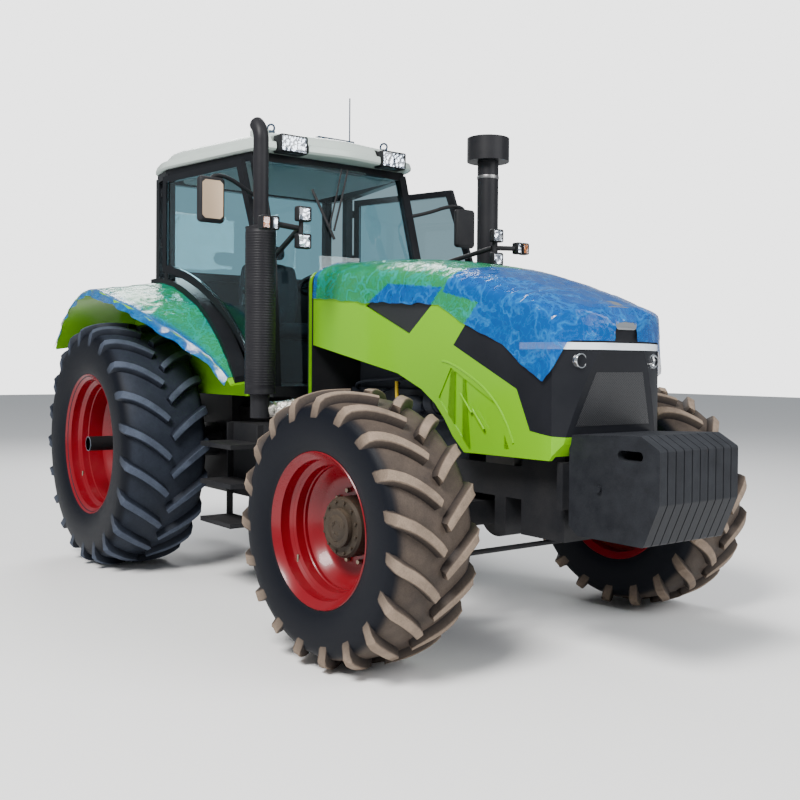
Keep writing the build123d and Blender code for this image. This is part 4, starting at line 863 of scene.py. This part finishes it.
# Film: thin blue plastic that still covers the bonnet and the fenders from the works. It clings
# to the paint, lies in small creases, and its loose edges hang in waves.
film_folds_and_highlight, given, result = new_group(
    "film_folds_and_highlight",
    [("Vector", "V"), ("Over Paint", "C"), ("Over Black", "C"), ("Crease", "C"), ("Below", "F")],
    [("Color", "C"), ("Alpha", "F"), ("Height", "F")],
)
swirl = add_node(film_folds_and_highlight, "TexNoise", Vector=given["Vector"], Detail=3.0, Roughness=0.55, Distortion=0.6,
                 Scale=6)
fine = add_node(film_folds_and_highlight, "TexNoise", Vector=given["Vector"], Detail=4.0, Roughness=0.6, Distortion=0.4,
                Scale=19)
lines = []
for cloud, sharp in ((swirl, 24.0), (fine, 20.0)):
    fold = sum_of(film_folds_and_highlight, "ABSOLUTE", sum_of(film_folds_and_highlight, "SUBTRACT", cloud.outputs["Fac"], 0.5))
    lines.append(sum_of(film_folds_and_highlight, "SUBTRACT", 1.0, sum_of(film_folds_and_highlight, "MULTIPLY", fold, sharp), clamp=True))
folds = sum_of(film_folds_and_highlight, "MULTIPLY_ADD", lines[1], 0.5, lines[0])
film_folds_and_highlight.links.new(folds, result["Height"])
lying = blend_of(film_folds_and_highlight, given["Below"], given["Over Paint"], given["Over Black"])
# The colour is blended towards a brighter blue along the fold lines: a painted highlight on the creases.
film_folds_and_highlight.links.new(blend_of(film_folds_and_highlight, sum_of(film_folds_and_highlight, "MULTIPLY", folds, 0.14, clamp=True), lying,
                              given["Crease"]), result["Color"])
film_folds_and_highlight.links.new(sum_of(film_folds_and_highlight, "MULTIPLY_ADD", folds, 0.15, 0.74, clamp=True), result["Alpha"])


def film_material(name, over_paint, over_black, crease):
    """Clear blue film: greenish on paint, deep blue on black or when loose, a painted highlight on creases.
    """
    material, shader, place = new_finish(name, over_paint, 0.10)
    shader.inputs["Specular IOR Level"].default_value = 0.45
    below = add_node(material.node_tree, "Attribute")
    below.attribute_name = "below"
    folded = use_group(material, film_folds_and_highlight, Vector=place, Over_Paint=(*over_paint, 1),
                       Over_Black=(*over_black, 1), Crease=(*crease, 1), Below=below.outputs["Fac"])
    join(material, folded["Color"], shader, "Base Color")
    join(material, folded["Alpha"], shader, "Alpha")
    raise_by(material, shader, folded["Height"], 0.3, 0.003)
    return material


def inside(corners, x, z):
    """Whether a place in the side view lies within these corners."""
    within = False
    for (x0, z0), (x1, z1) in zip(corners, corners[1:] + corners[:1]):
        if (z0 > z) != (z1 > z) and x < x0 + (x1 - x0) * (z - z0) / (z1 - z0):
            within = not within
    return within


def pick(points, x):
    """The value at x on straight runs between (x, value) points."""
    for (x0, v0), (x1, v1) in zip(points, points[1:]):
        if x <= x1:
            break
    return v0 + (v1 - v0) * min(max((x - x0) / (x1 - x0), 0.0), 1.0)


def even_line(places, count):
    """The same line of places in equal steps."""
    run = [0.0]
    for first, second in zip(places, places[1:]):
        run.append(run[-1] + (Vector(second) - Vector(first)).length)
    line = []
    k = 0
    for step in range(count):
        wanted = run[-1] * step / (count - 1)
        while k < len(run) - 2 and run[k + 1] < wanted:
            k += 1
        share = (wanted - run[k]) / max(run[k + 1] - run[k], 1e-9)
        line.append(Vector(places[k]).lerp(Vector(places[k + 1]), share))
    return line


def creased(place, size):
    """A small signed height that folds run through."""
    wide = noise.noise(place * 5.0 + Vector((3.1, 0.0, 7.7)))
    narrow = noise.noise(place * 14.0)
    return size * ((1 - 3.0 * abs(wide)) * 0.6 + (1 - 3.0 * abs(narrow)) * 0.4)


# The third colour is the painted highlight along the film's creases.
bonnet_film = film_material("blue_bonnet_film", (0.0, 0.24, 0.10), (0.0, 0.085, 0.36), (0.02, 0.48, 0.92))
film_edge = ((1.70, 1.895), (2.276, 1.845), (2.894, 1.808), (3.0, 1.798), (3.19, 1.70), (3.49, 1.582),
             (3.70, 1.44), (3.767, 1.40), (3.81, 1.45), (3.85, 1.602), (3.93, 1.604))
film_rear = 1.705
film_front = 3.926
nose_start = 3.8
nose_gap = 0.006
film_rows = 200
film_places = 131
last = film_places - 1
roll_depth = 0.048
rows = []
for k in range(film_rows + 1):
    x = film_rear + (film_front - film_rear) * k / film_rows
    low = pick(film_edge, x) + 0.012 * noise.noise(Vector((x * 9, 2, 0))) * (x < nose_start)
    half = bonnet_at(x)[0]
    if x > bonnet_front - nose_depth:
        half = min(half, nose_half * math.sqrt((bonnet_front - x) / nose_depth))
    roll = min(max((x - (bonnet_front - roll_depth)) / roll_depth, 0.0), 1.0)
    at_x = ahead(x + nose_gap * (x > nose_start))
    brow_top = brow_low + 0.009 + brow_rise * math.sqrt(1 - roll**2) if roll > 0 else math.inf
    lift_by = 0.003 if x < 3.6 else 0.007
    arch = [(y, min(z, brow_top)) for y, z in bonnet_arch(x, -lift_by, 26) if abs(y) <= half]
    side_top = arch[0][1]
    half += lift_by
    outline = [(at_x, -half, low), (at_x, -half, 0.5 * (low + side_top))]
    outline += [(at_x, y, z) for y, z in arch]
    outline += [(at_x, half, 0.5 * (low + side_top)), (at_x, half, low)]
    line = even_line(outline, film_places)
    row = []
    for j, place in enumerate(line):
        out = Vector((0, place.y, max(place.z - 1.62, 0.0) * 1.4)).normalized()
        lift = max(creased(place, 0.006), -0.001)
        edge = max(0.0, 1 - min(j, last - j) / 7)
        loose = edge * 0.010 * (0.5 + noise.noise(Vector((x * 14, j > 60, 1))))
        nose_bulge = 0.007 * min(max(0.0, (x - 3.2) / 0.6), 1.0) * (0.5 + noise.noise(place * 9)) * (x < 3.87)
        row.append(place + out * (lift + max(loose, 0) + max(nose_bulge, 0)))
    rows.append(row)
film = shell_of_places("bonnet_film", rows, smooth_angle=60)
mark(film, "below", [float(inside(nose_corners, place.x - ahead(0), place.z)
                           or inside(vent_corners, place.x - ahead(0), place.z) or place.x < ahead(1.74))
                     for row in rows for place in row])
film.data.materials.append(bonnet_film)
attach(film, "hood_body")

# Fenders: rolled steel sheets in the same lime green, also under blue film, whose outer edge was
# never trimmed and hangs in waves over the tyre
put_on("rear_fenders", lime_paint)
# The third colour is the painted highlight along the film's creases.
fender_film = film_material("blue_fender_film", (0.0, 0.26, 0.13), (0.0, 0.09, 0.34), (0.02, 0.50, 0.62))
fender_tree = bvhtree.BVHTree.FromObject(nodes["rear_fenders"], bpy.context.evaluated_depsgraph_get())
fender_plan = ((-0.80, 1.30), (0.45, 1.30), (0.80, 1.18), (1.25, 0.86), (1.31, 0.84))
fender_rear = -0.775
fender_front = 1.285
spine_y = 0.76
inner_y = 0.715
top_steps = 40
hem_steps = 8
for side, word in ((-1, "right"), (1, "left")):
    spine = []
    for k in range(401):
        x = fender_rear + (fender_front - fender_rear) * k / 400
        hit = fender_tree.ray_cast(Vector((ahead(x), side * spine_y, 2.4)), Vector((0, 0, -1)))
        if hit[0]:
            spine.append(hit[0])
    spine = even_line(spine, 170)
    rows = []
    for place in spine:
        x = place.x - ahead(0)
        outer_y = pick(fender_plan, x) - 0.004
        row = []
        for j in range(top_steps + 1):
            y = inner_y + (outer_y - inner_y) * j / top_steps
            z = place.z - 0.15 * (y - spine_y)
            spot = Vector((place.x, side * y, z))
            row.append(spot + Vector((0, 0, 1)) * (0.004 + max(creased(spot, 0.008), -0.002)))
        drop = 0.055 + 0.035 * noise.noise(Vector((place.x * 4, 5, side)))
        for j in range(1, hem_steps + 1):
            t = j / hem_steps
            flutter = 0.022 * math.sin(place.x * 34 + 3 * noise.noise(Vector((place.x * 3, 0, 2)))) * t
            spot = row[top_steps].copy()
            spot.y += side * (0.012 * math.sin(t * math.pi / 2) + flutter * 0.6 + 0.010 * t)
            spot.z -= drop * t
            row.append(spot)
        rows.append(row)
    film = shell_of_places(f"fender_film_{word}", rows, smooth_angle=60)
    mark(film, "below", [min(max((j - 34) / 6, 0.0) + 0.6 * max(0.0, noise.noise(place * 4)), 1.0)
                         for row in rows for j, place in enumerate(row)])
    film.data.materials.append(fender_film)
    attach(film, "chassis")

# Cab: black welded frame and doors, and tinted panes, of which two swing with the doors
cab_paint = dusty_paint("black_cab_paint", (0.006, 0.007, 0.009), 0.32, (0.05, 0.05, 0.055), 0.2)
for name in ("cab_frame", "left_door", "right_door"):
    put_on(name, cab_paint)
cab_tint, tint_shader, place = new_finish("tinted_cab_glass", (0.62, 0.90, 0.97), 0.01)
tint_shader.inputs["Transmission Weight"].default_value = 1.0
tint_shader.inputs["IOR"].default_value = 1.42
for name in ("cab_glass", "left_door_glass", "right_door_glass"):
    put_on(name, cab_tint)

# Roof: pale moulded shell in two tiers with a wide brim and two lamp pockets. It carries a dark
# hatch, a vent box and four lifting eyes.
roof_plastic = dusty_paint("pale_roof_plastic", (0.52, 0.60, 0.56), 0.34, (0.33, 0.35, 0.33), 0.3, coat=0.3)
roof_low = 2.90
roof_top = 3.055


def roof_plan(grow, z):
    """Plan of the roof with round corners, wider in the middle than at the windscreen."""
    corners = [(-0.17 - grow, -0.76 - grow), (0.20, -0.85 - grow), (1.33 + grow, -0.64 - grow),
               (1.42 + grow, 0.0), (1.33 + grow, 0.64 + grow), (0.20, 0.85 + grow),
               (-0.17 - grow, 0.76 + grow)]
    corner_reach = 0.10
    corner_steps = 7
    places = []
    count = len(corners)
    for k, corner in enumerate(corners):
        here = Vector(corner)
        before = (Vector(corners[k - 1]) - here).normalized() * corner_reach
        after = (Vector(corners[(k + 1) % count]) - here).normalized() * corner_reach
        bend = geometry.interpolate_bezier(here + before, here + before * 0.4, here + after * 0.4,
                                           here + after, corner_steps)
        places += [(ahead(p.x), p.y, z) for p in bend]
    return places


tiers = ((-0.016, roof_low), (-0.004, roof_low + 0.012), (-0.003, roof_low + 0.030),
         (-0.010, roof_low + 0.055), (-0.030, roof_low + 0.062), (-0.050, roof_low + 0.068),
         (-0.072, roof_low + 0.105), (-0.095, roof_top - 0.025), (-0.125, roof_top - 0.010),
         (-0.20, roof_top - 0.002), (-0.42, roof_top))
roof_rows = [roof_plan(grow, z) for grow, z in tiers]
roof_shell = shell_of_places("roof_shell", roof_rows, closed_round=True, ends=True)
lamp_y = 0.41
for side in (-1, 1):
    pocket = rounded_box("pocket", (ahead(1.25), side * lamp_y - 0.115, roof_low - 0.04),
                         (ahead(1.60), side * lamp_y + 0.115, roof_low + 0.118), 0.01)
    cut_with(roof_shell, pocket, "DIFFERENCE")
fit_out(roof_shell, "chassis", roof_plastic, 30)
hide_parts("roof")
fitting_plastic = dusty_paint("dark_fitting_plastic", (0.03, 0.05, 0.08), 0.4, (0.1, 0.1, 0.1), 0.2)
put_on("roof_fittings", fitting_plastic)
for word, x, y in (("front_right", 1.16, -0.47), ("front_left", 1.16, 0.47), ("rear_right", 0.05, -0.52),
                   ("rear_left", 0.05, 0.52)):
    bpy.ops.object.select_all(action="DESELECT")
    bpy.ops.mesh.primitive_torus_add(
        major_radius=0.026, minor_radius=0.007, major_segments=32, minor_segments=10,
        location=(ahead(x), y, roof_top + 0.028), rotation=(math.pi / 2, 0, 0.6))
    eye = bpy.context.object
    keep_place()
    foot = rounded_box("foot", (ahead(x) - 0.022, y - 0.022, roof_top - 0.012),
                       (ahead(x) + 0.022, y + 0.022, roof_top + 0.010), 0.004)
    fit_out(join_pieces(f"lifting_eye_{word}", [eye, foot]), "chassis", fitting_plastic)
vent_box = rounded_box("roof_vent_box", (ahead(1.06), -0.58, roof_top - 0.045),
                       (ahead(1.17), -0.44, roof_top + 0.018), 0.012)
fit_out(vent_box, "chassis", roof_plastic)

# Wiper: two thin arms from its pivot at the top of the windscreen down to one rubber blade, all
# laid along the pane.
screen_tree = bvhtree.BVHTree.FromObject(nodes["cab_glass"], bpy.context.evaluated_depsgraph_get())
arms = []
arm_gap = 0.022
blade_gap = 0.013
run_steps = 5
for top, foot, radius, gap in (
        ((0.03, 2.83), (-0.17, 2.38), 0.007, arm_gap), ((-0.02, 2.83), (-0.20, 2.40), 0.006, arm_gap),
        ((-0.27, 2.66), (-0.175, 2.32), 0.010, blade_gap)):
    line = []
    for k in range(run_steps + 1):
        y = top[0] + (foot[0] - top[0]) * k / run_steps
        z = top[1] + (foot[1] - top[1]) * k / run_steps
        hit = screen_tree.ray_cast(Vector((2, y, z)), Vector((-1, 0, 0)))[0]
        line.append(hit + Vector((gap, 0, 0)))
    arms.append(tube("wiper_bar", line, radius))
wiper = fit_out(join_pieces("wiper_arms_and_blade", arms), "chassis", moulding)
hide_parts("wiper")

# Lamps: black housings with clear lenses over bright faceted reflectors, on the arms beside the
# bonnet and in the roof's front. The outer lamps on the arms are orange.
reflector, lens_shader, place = new_finish("lamp_reflector", (0.80, 0.83, 0.87), 0.08, metallic=1.0)
cells = add_node(reflector.node_tree, "TexVoronoi", Vector=place, Scale=34)
raise_by(reflector, lens_shader, cells.outputs["Distance"], 0.7, 0.010)
clear, clear_shader, place = new_finish("clear_lens", (0.93, 0.96, 1.0), 0.02, coat=1.0)
clear_shader.inputs["Transmission Weight"].default_value = 1.0
clear_shader.inputs["IOR"].default_value = 1.4
orange, orange_shader, place = new_finish("orange_lens", (0.85, 0.22, 0.01), 0.08, coat=1.0)
ribs = add_node(orange.node_tree, "TexWave", Vector=place, Scale=60)
raise_by(orange, orange_shader, ribs.outputs["Fac"], 0.5, 0.002)
housing = dusty_paint("black_lamp_housing", (0.010, 0.011, 0.013), 0.4, (0.06, 0.06, 0.06), 0.2)


def work_lamp(name, low, high, lens=None):
    """A square lamp that faces ahead: a housing with a sunk face, a reflector and a clear lens."""
    low = Vector(low)
    high = Vector(high)
    box = rounded_box(name, low, high, 0.012)
    frame_width = 0.009
    sunk = rounded_box("sunk", (high.x - 0.014, low.y + frame_width, low.z + frame_width),
                       (high.x + 0.02, high.y - frame_width, high.z - frame_width), 0.006)
    cut_with(box, sunk, "DIFFERENCE")
    fit_out(box, "chassis", housing)
    back = rounded_box(name + "_reflector", (high.x - 0.022, low.y + 0.010, low.z + 0.010),
                       (high.x - 0.010, high.y - 0.010, high.z - 0.010), 0.003)
    fit_out(back, "chassis", lens or reflector)
    pane = rounded_box(name + "_lens", (high.x - 0.008, low.y + 0.0095, low.z + 0.0095),
                       (high.x - 0.003, high.y - 0.0095, high.z - 0.0095), 0.002)
    fit_out(pane, "chassis", clear)


arm_y = 0.763
lamp_half = 0.048
half_height = 0.045
roof_lamp_half = 0.105
for side, word in ((-1, "right"), (1, "left")):
    for height, level in ((2.365, "upper"), (2.205, "lower")):
        work_lamp(f"work_lamp_{level}_{word}",
                  (ahead(2.068), side * arm_y - lamp_half, height - half_height),
                  (ahead(2.120), side * arm_y + lamp_half, height + half_height))
    work_lamp(f"roof_lamp_{word}", (ahead(1.27), side * lamp_y - roof_lamp_half, roof_low - 0.012),
              (ahead(1.385), side * lamp_y + roof_lamp_half, roof_low + 0.108))
    for name, inner_edge, outer_edge, lens in (("turn_signal", 0.985, 1.049, orange),
                                               ("marker_lamp", 0.932, 0.985, None)):
        low_y, high_y = sorted((side * inner_edge, side * outer_edge))
        work_lamp(f"{name}_{word}", (ahead(2.062), low_y, 2.252), (ahead(2.124), high_y, 2.334), lens)
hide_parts("lamps")

# Mirrors: black moulded heads on bent arms at the cab's front posts. The right mirror is folded so
# that its tan glass faces ahead, as in the photo; the left one faces back.
mirror_glass = new_finish("mirror_glass", (0.75, 0.80, 0.82), 0.03, metallic=1.0)[0]
heads = []
for side in (-1, 1):
    low_y, high_y = sorted((side * 0.945, side * 1.125))
    head = rounded_box("mirror_head", (ahead(1.39), low_y, 2.36), (ahead(1.45), high_y, 2.65), 0.028, 5)
    arm_route = ((1.30, 0.62, 2.57), (1.345, 0.74, 2.60), (1.40, 0.90, 2.665), (1.42, 1.03, 2.665),
                 (1.42, 1.035, 2.62))
    heads += [head, tube("mirror_arm", [(ahead(x), side * y, z) for x, y, z in arm_route], 0.014)]
mirrors = fit_out(join_pieces("mirror_heads_and_arms", heads), "chassis", moulding)
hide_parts("mirrors")
tan_glass = new_finish("tan_mirror_glass", (0.42, 0.31, 0.21), 0.35, metallic=0.5)[0]
for side, word, x, glass in ((-1, "right", 1.4505, tan_glass), (1, "left", 1.3895, mirror_glass)):
    low_y, high_y = sorted((side * 0.965, side * 1.105))
    cut = 0.02
    corners = [(low_y + cut, 2.385), (high_y - cut, 2.385), (high_y, 2.405), (high_y, 2.605),
               (high_y - cut, 2.625), (low_y + cut, 2.625), (low_y, 2.605), (low_y, 2.405)]
    pane = extruded(f"mirror_glass_{word}", [(ahead(x) - 0.001, y, z) for y, z in corners], (0.002, 0, 0))
    fit_out(pane, "chassis", glass)

# Exhaust: black stack in a shield sleeve with fine rings, and a bent open end. The intake stack
# on the left has a steel band.
stack_paint = dusty_paint("black_stack_paint", (0.010, 0.010, 0.013), 0.38, (0.07, 0.07, 0.07), 0.25)
put_on("intake_stack", stack_paint)
stack_y = -0.905
outline = [(0.040, 1.15), (0.058, 1.15), (0.058, 1.29), (0.093, 1.295), (0.093, 1.31), (0.090, 1.32)]
ring_count = 58
ring_pitch = 0.016
for k in range(ring_count):
    z = 1.345 + k * ring_pitch
    outline += [(0.0910, z), (0.0925, z + 0.003), (0.0925, z + 0.010), (0.0910, z + 0.013)]
outline += [(0.090, 2.285), (0.093, 2.29), (0.093, 2.30), (0.046, 2.31), (0.046, 2.83), (0.040, 2.83)]
sleeve_line = [(stack_x + r, stack_y, z) for r, z in outline]
sleeve = turned("stack_sleeve", sleeve_line, (stack_x, stack_y, 0), (0, 0, 1), 48)
bend_radius = 0.12
bend_steps = 12
pipe_radius = 0.046
pipe_sides = 40
rows = []
for k in range(bend_steps + 1):
    turn_back = math.radians(58) * k / bend_steps
    centre = Vector((stack_x - bend_radius + bend_radius * math.cos(turn_back), stack_y,
                     2.829 + bend_radius * math.sin(turn_back)))
    out = Vector((math.cos(turn_back), 0, math.sin(turn_back)))
    rows.append([centre + out * pipe_radius * math.cos(a) + Vector((0, pipe_radius, 0)) * math.sin(a)
                 for a in (2 * math.pi * j / pipe_sides for j in range(pipe_sides))])
bore_rows = []
for row in rows[::-1]:
    middle = sum(row, Vector()) / pipe_sides
    bore_rows.append([place.lerp(middle, 0.08) for place in row])
bend = shell_of_places("stack_bend", rows + bore_rows, closed_round=True)
exhaust = join_pieces("exhaust_pipe_and_sleeve", [sleeve, bend])
fit_out(exhaust, "chassis", stack_paint, 30)
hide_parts("exhaust_stack")
band_steel = dusty_paint("band_steel", (0.25, 0.25, 0.26), 0.3, road_dust, 0.3, metallic=0.9)
band_place = (stack_x, 0.905, 2.80)
band_shape = ((0.0735, 0.0), (0.0775, 0.002), (0.079, 0.013), (0.0775, 0.024), (0.0735, 0.026))
band_line = [(stack_x + r, band_place[1], band_place[2] + z) for r, z in band_shape]
fit_out(turned("intake_band", band_line, band_place, (0, 0, 1), 48), "chassis", band_steel)

# Inside the cab: cloth seat on its box, steering wheel, dash with its display, console with its
# levers, and the pale roof lining
seat_cloth, cloth_shader, place = new_finish("black_seat_cloth", (0.014, 0.015, 0.019), 0.85)
weave = add_node(seat_cloth.node_tree, "TexWave", Vector=place, Scale=220)
join(seat_cloth, blend_of(seat_cloth.node_tree, weave.outputs["Fac"], (0.010, 0.011, 0.014, 1),
                          (0.030, 0.032, 0.040, 1)), cloth_shader, "Base Color")
raise_by(seat_cloth, cloth_shader, weave.outputs["Fac"], 0.5, 0.001)


def cushion(name, low, high, lean=0.0):
    """A crowned foam cushion between two corners, with two sewn channels and sides that pull in."""
    piece = rounded_box(name, low, high, 0.03, 4)
    alone(piece)
    if lean:
        foot = Vector(((low[0] + high[0]) / 2, 0, low[2]))
        tilt = Matrix.Rotation(lean, 4, "Y")
        piece.data.transform(Matrix.Translation(foot) @ tilt @ Matrix.Translation(-foot))
    remesh = piece.modifiers.new("even", "REMESH")
    remesh.mode = "VOXEL"
    remesh.voxel_size = 0.014
    bpy.ops.object.modifier_apply(modifier="even")
    middle = sum((v.co for v in piece.data.vertices), Vector()) / len(piece.data.vertices)
    size = Vector(high) - Vector(low)
    for vertex in piece.data.vertices:
        away = vertex.co - middle
        share = Vector((away.x / size.x, away.y / size.y, away.z / size.z)) * 2
        crown = 1 - 0.10 * (share.x**2 * share.y**2 + share.y**2 * share.z**2 + share.x**2 * share.z**2)
        channel = 0.006 * math.exp(-((abs(share.y) - 0.62) / 0.05) ** 2)
        vertex.co = middle + away * (crown - channel / max(away.length, 0.05))
    sub = piece.modifiers.new("fine", "SUBSURF")
    sub.levels = sub.render_levels = 1
    bpy.ops.object.modifier_apply(modifier="fine")
    fit_out(piece, "chassis", seat_cloth, 60)
    return piece


floor_z = 1.33
base = cushion("seat_cushion", (ahead(0.33), -0.255, floor_z + 0.335), (ahead(0.80), 0.255, floor_z + 0.455))
cushion("seat_back", (ahead(0.25), -0.25, floor_z + 0.44), (ahead(0.37), 0.25, floor_z + 0.93), lean=-0.10)
cushion("head_rest", (ahead(0.25), -0.14, floor_z + 0.955), (ahead(0.32), 0.14, floor_z + 1.07), lean=-0.10)
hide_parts("seat")
pedestal = rounded_box("seat_box", (ahead(0.36), -0.18, floor_z + 0.001),
                       (ahead(0.76), 0.18, floor_z + 0.33), 0.02)
fit_out(pedestal, "chassis", moulding)
arm_rest = rounded_box("arm_rest", (ahead(0.44), -0.262, floor_z + 0.60),
                       (ahead(0.78), -0.20, floor_z + 0.65), 0.02)
fit_out(arm_rest, "chassis", moulding)
grip = dusty_paint("grip_rubber", (0.012, 0.012, 0.013), 0.6, (0.05, 0.05, 0.05), 0.1)
put_on("steering_wheel", grip)
console_low, console_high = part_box("console")
knobs = dusty_paint("orange_knobs", (0.75, 0.12, 0.01), 0.35, (0.1, 0.05, 0.02), 0.1)
for k in range(4):
    x = console_high.x - 0.08 - 0.09 * k
    y = console_low.y + 0.05 + 0.03 * (k % 2)
    stem = tube(f"lever_{k}", [(x, y, console_high.z - 0.02), (x + 0.01, y, console_high.z + 0.05),
                               (x + 0.03, y, console_high.z + 0.10)], 0.006)
    fit_out(stem, "chassis", band_steel)
    profile = [(0.0, 0.0), (0.010, 0.002), (0.017, 0.014), (0.018, 0.028), (0.012, 0.040), (0.0, 0.044)]
    knob = turned(f"knob_{k}", [(x + 0.03 + r, y, console_high.z + 0.09 + z) for r, z in profile],
                  (x + 0.03, y, 0), (0, 0, 1), 24)
    fit_out(knob, "chassis", knobs if k < 2 else grip)
dash_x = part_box("dash")[0].x
screen_black = new_finish("dark_display", (0.01, 0.012, 0.016), 0.35)[0]
display = rounded_box("display", (dash_x + 0.10, -0.16, floor_z + 0.625),
                      (dash_x + 0.26, 0.16, floor_z + 0.70), 0.02)
fit_out(display, "chassis", screen_black)
lining = dusty_paint("pale_roof_lining", (0.30, 0.32, 0.33), 0.8, (0.2, 0.2, 0.2), 0.1)
headliner = rounded_box("roof_lining", (ahead(0.02), -0.60, 2.842), (ahead(1.10), 0.60, 2.899), 0.02)
fit_out(headliner, "chassis", lining)

# Floor and light: a plain pale ground, a soft sky, a key light on the camera's side and two weaker
# lights from the front and from behind
floor_material = new_finish("pale_floor", (0.92, 0.92, 0.92), 0.95)[0]
bpy.ops.object.select_all(action="DESELECT")
bpy.ops.mesh.primitive_plane_add(size=80, location=(0, 0, 0))
floor = bpy.context.object
floor.name = "floor"
floor.data.materials.append(floor_material)

world = bpy.data.worlds.new("soft_sky")
bpy.context.scene.world = world
world.use_nodes = True
tree = world.node_tree
dome = tree.nodes["Background"]
dome.inputs["Color"].default_value = (0.90, 0.95, 1.0, 1)
dome.inputs["Strength"].default_value = 0.42
backdrop = tree.nodes.new("ShaderNodeBackground")
backdrop.inputs["Color"].default_value = (1, 1, 1, 1)
backdrop.inputs["Strength"].default_value = 3.0
seen = tree.nodes.new("ShaderNodeLightPath")
mixed = tree.nodes.new("ShaderNodeMixShader")
tree.links.new(seen.outputs["Is Camera Ray"], mixed.inputs["Fac"])
tree.links.new(dome.outputs["Background"], mixed.inputs[1])
tree.links.new(backdrop.outputs["Background"], mixed.inputs[2])
tree.links.new(mixed.outputs["Shader"], tree.nodes["World Output"].inputs["Surface"])


def soft_light(name, place, aim, size, power, color=(1, 1, 1)):
    """A large soft lamp that points at a place."""
    lamp = bpy.data.lights.new(name, "AREA")
    lamp.size = size
    lamp.energy = power
    lamp.color = color
    holder = bpy.data.objects.new(name, lamp)
    bpy.context.scene.collection.objects.link(holder)
    holder.location = place
    holder.rotation_euler = (Vector(aim) - Vector(place)).to_track_quat("-Z", "Y").to_euler()


soft_light("key_light", (4.5, -8.0, 10.0), (0, 0, 1), 4, 2600, (1.0, 0.98, 0.95))
soft_light("fill_light", (9.0, 3.0, 6.0), (0, 0, 1), 6, 700)
soft_light("back_light", (-8.0, 3.0, 8.0), (0, 0, 1.5), 5, 700)

# Camera: it stands where the photograph was taken from, with the same turn and lens.
lens_per_width = 1004 / 800
camera_data = bpy.data.cameras.new("camera")
camera_data.sensor_width = 36
camera_data.lens = 36 * lens_per_width
camera_data.shift_x = -0.034
camera_data.shift_y = -0.024
camera = bpy.data.objects.new("camera", camera_data)
bpy.context.scene.collection.objects.link(camera)
turn = (Matrix.Rotation(math.radians(142.41 - 90), 3, "Z")
        @ Matrix.Rotation(math.radians(90 - 0.965), 3, "X")
        @ Matrix.Rotation(math.radians(0.45), 3, "Z"))
camera.location = (5.693, -3.81, 1.484)
camera.rotation_euler = turn.to_euler()
bpy.context.scene.camera = camera
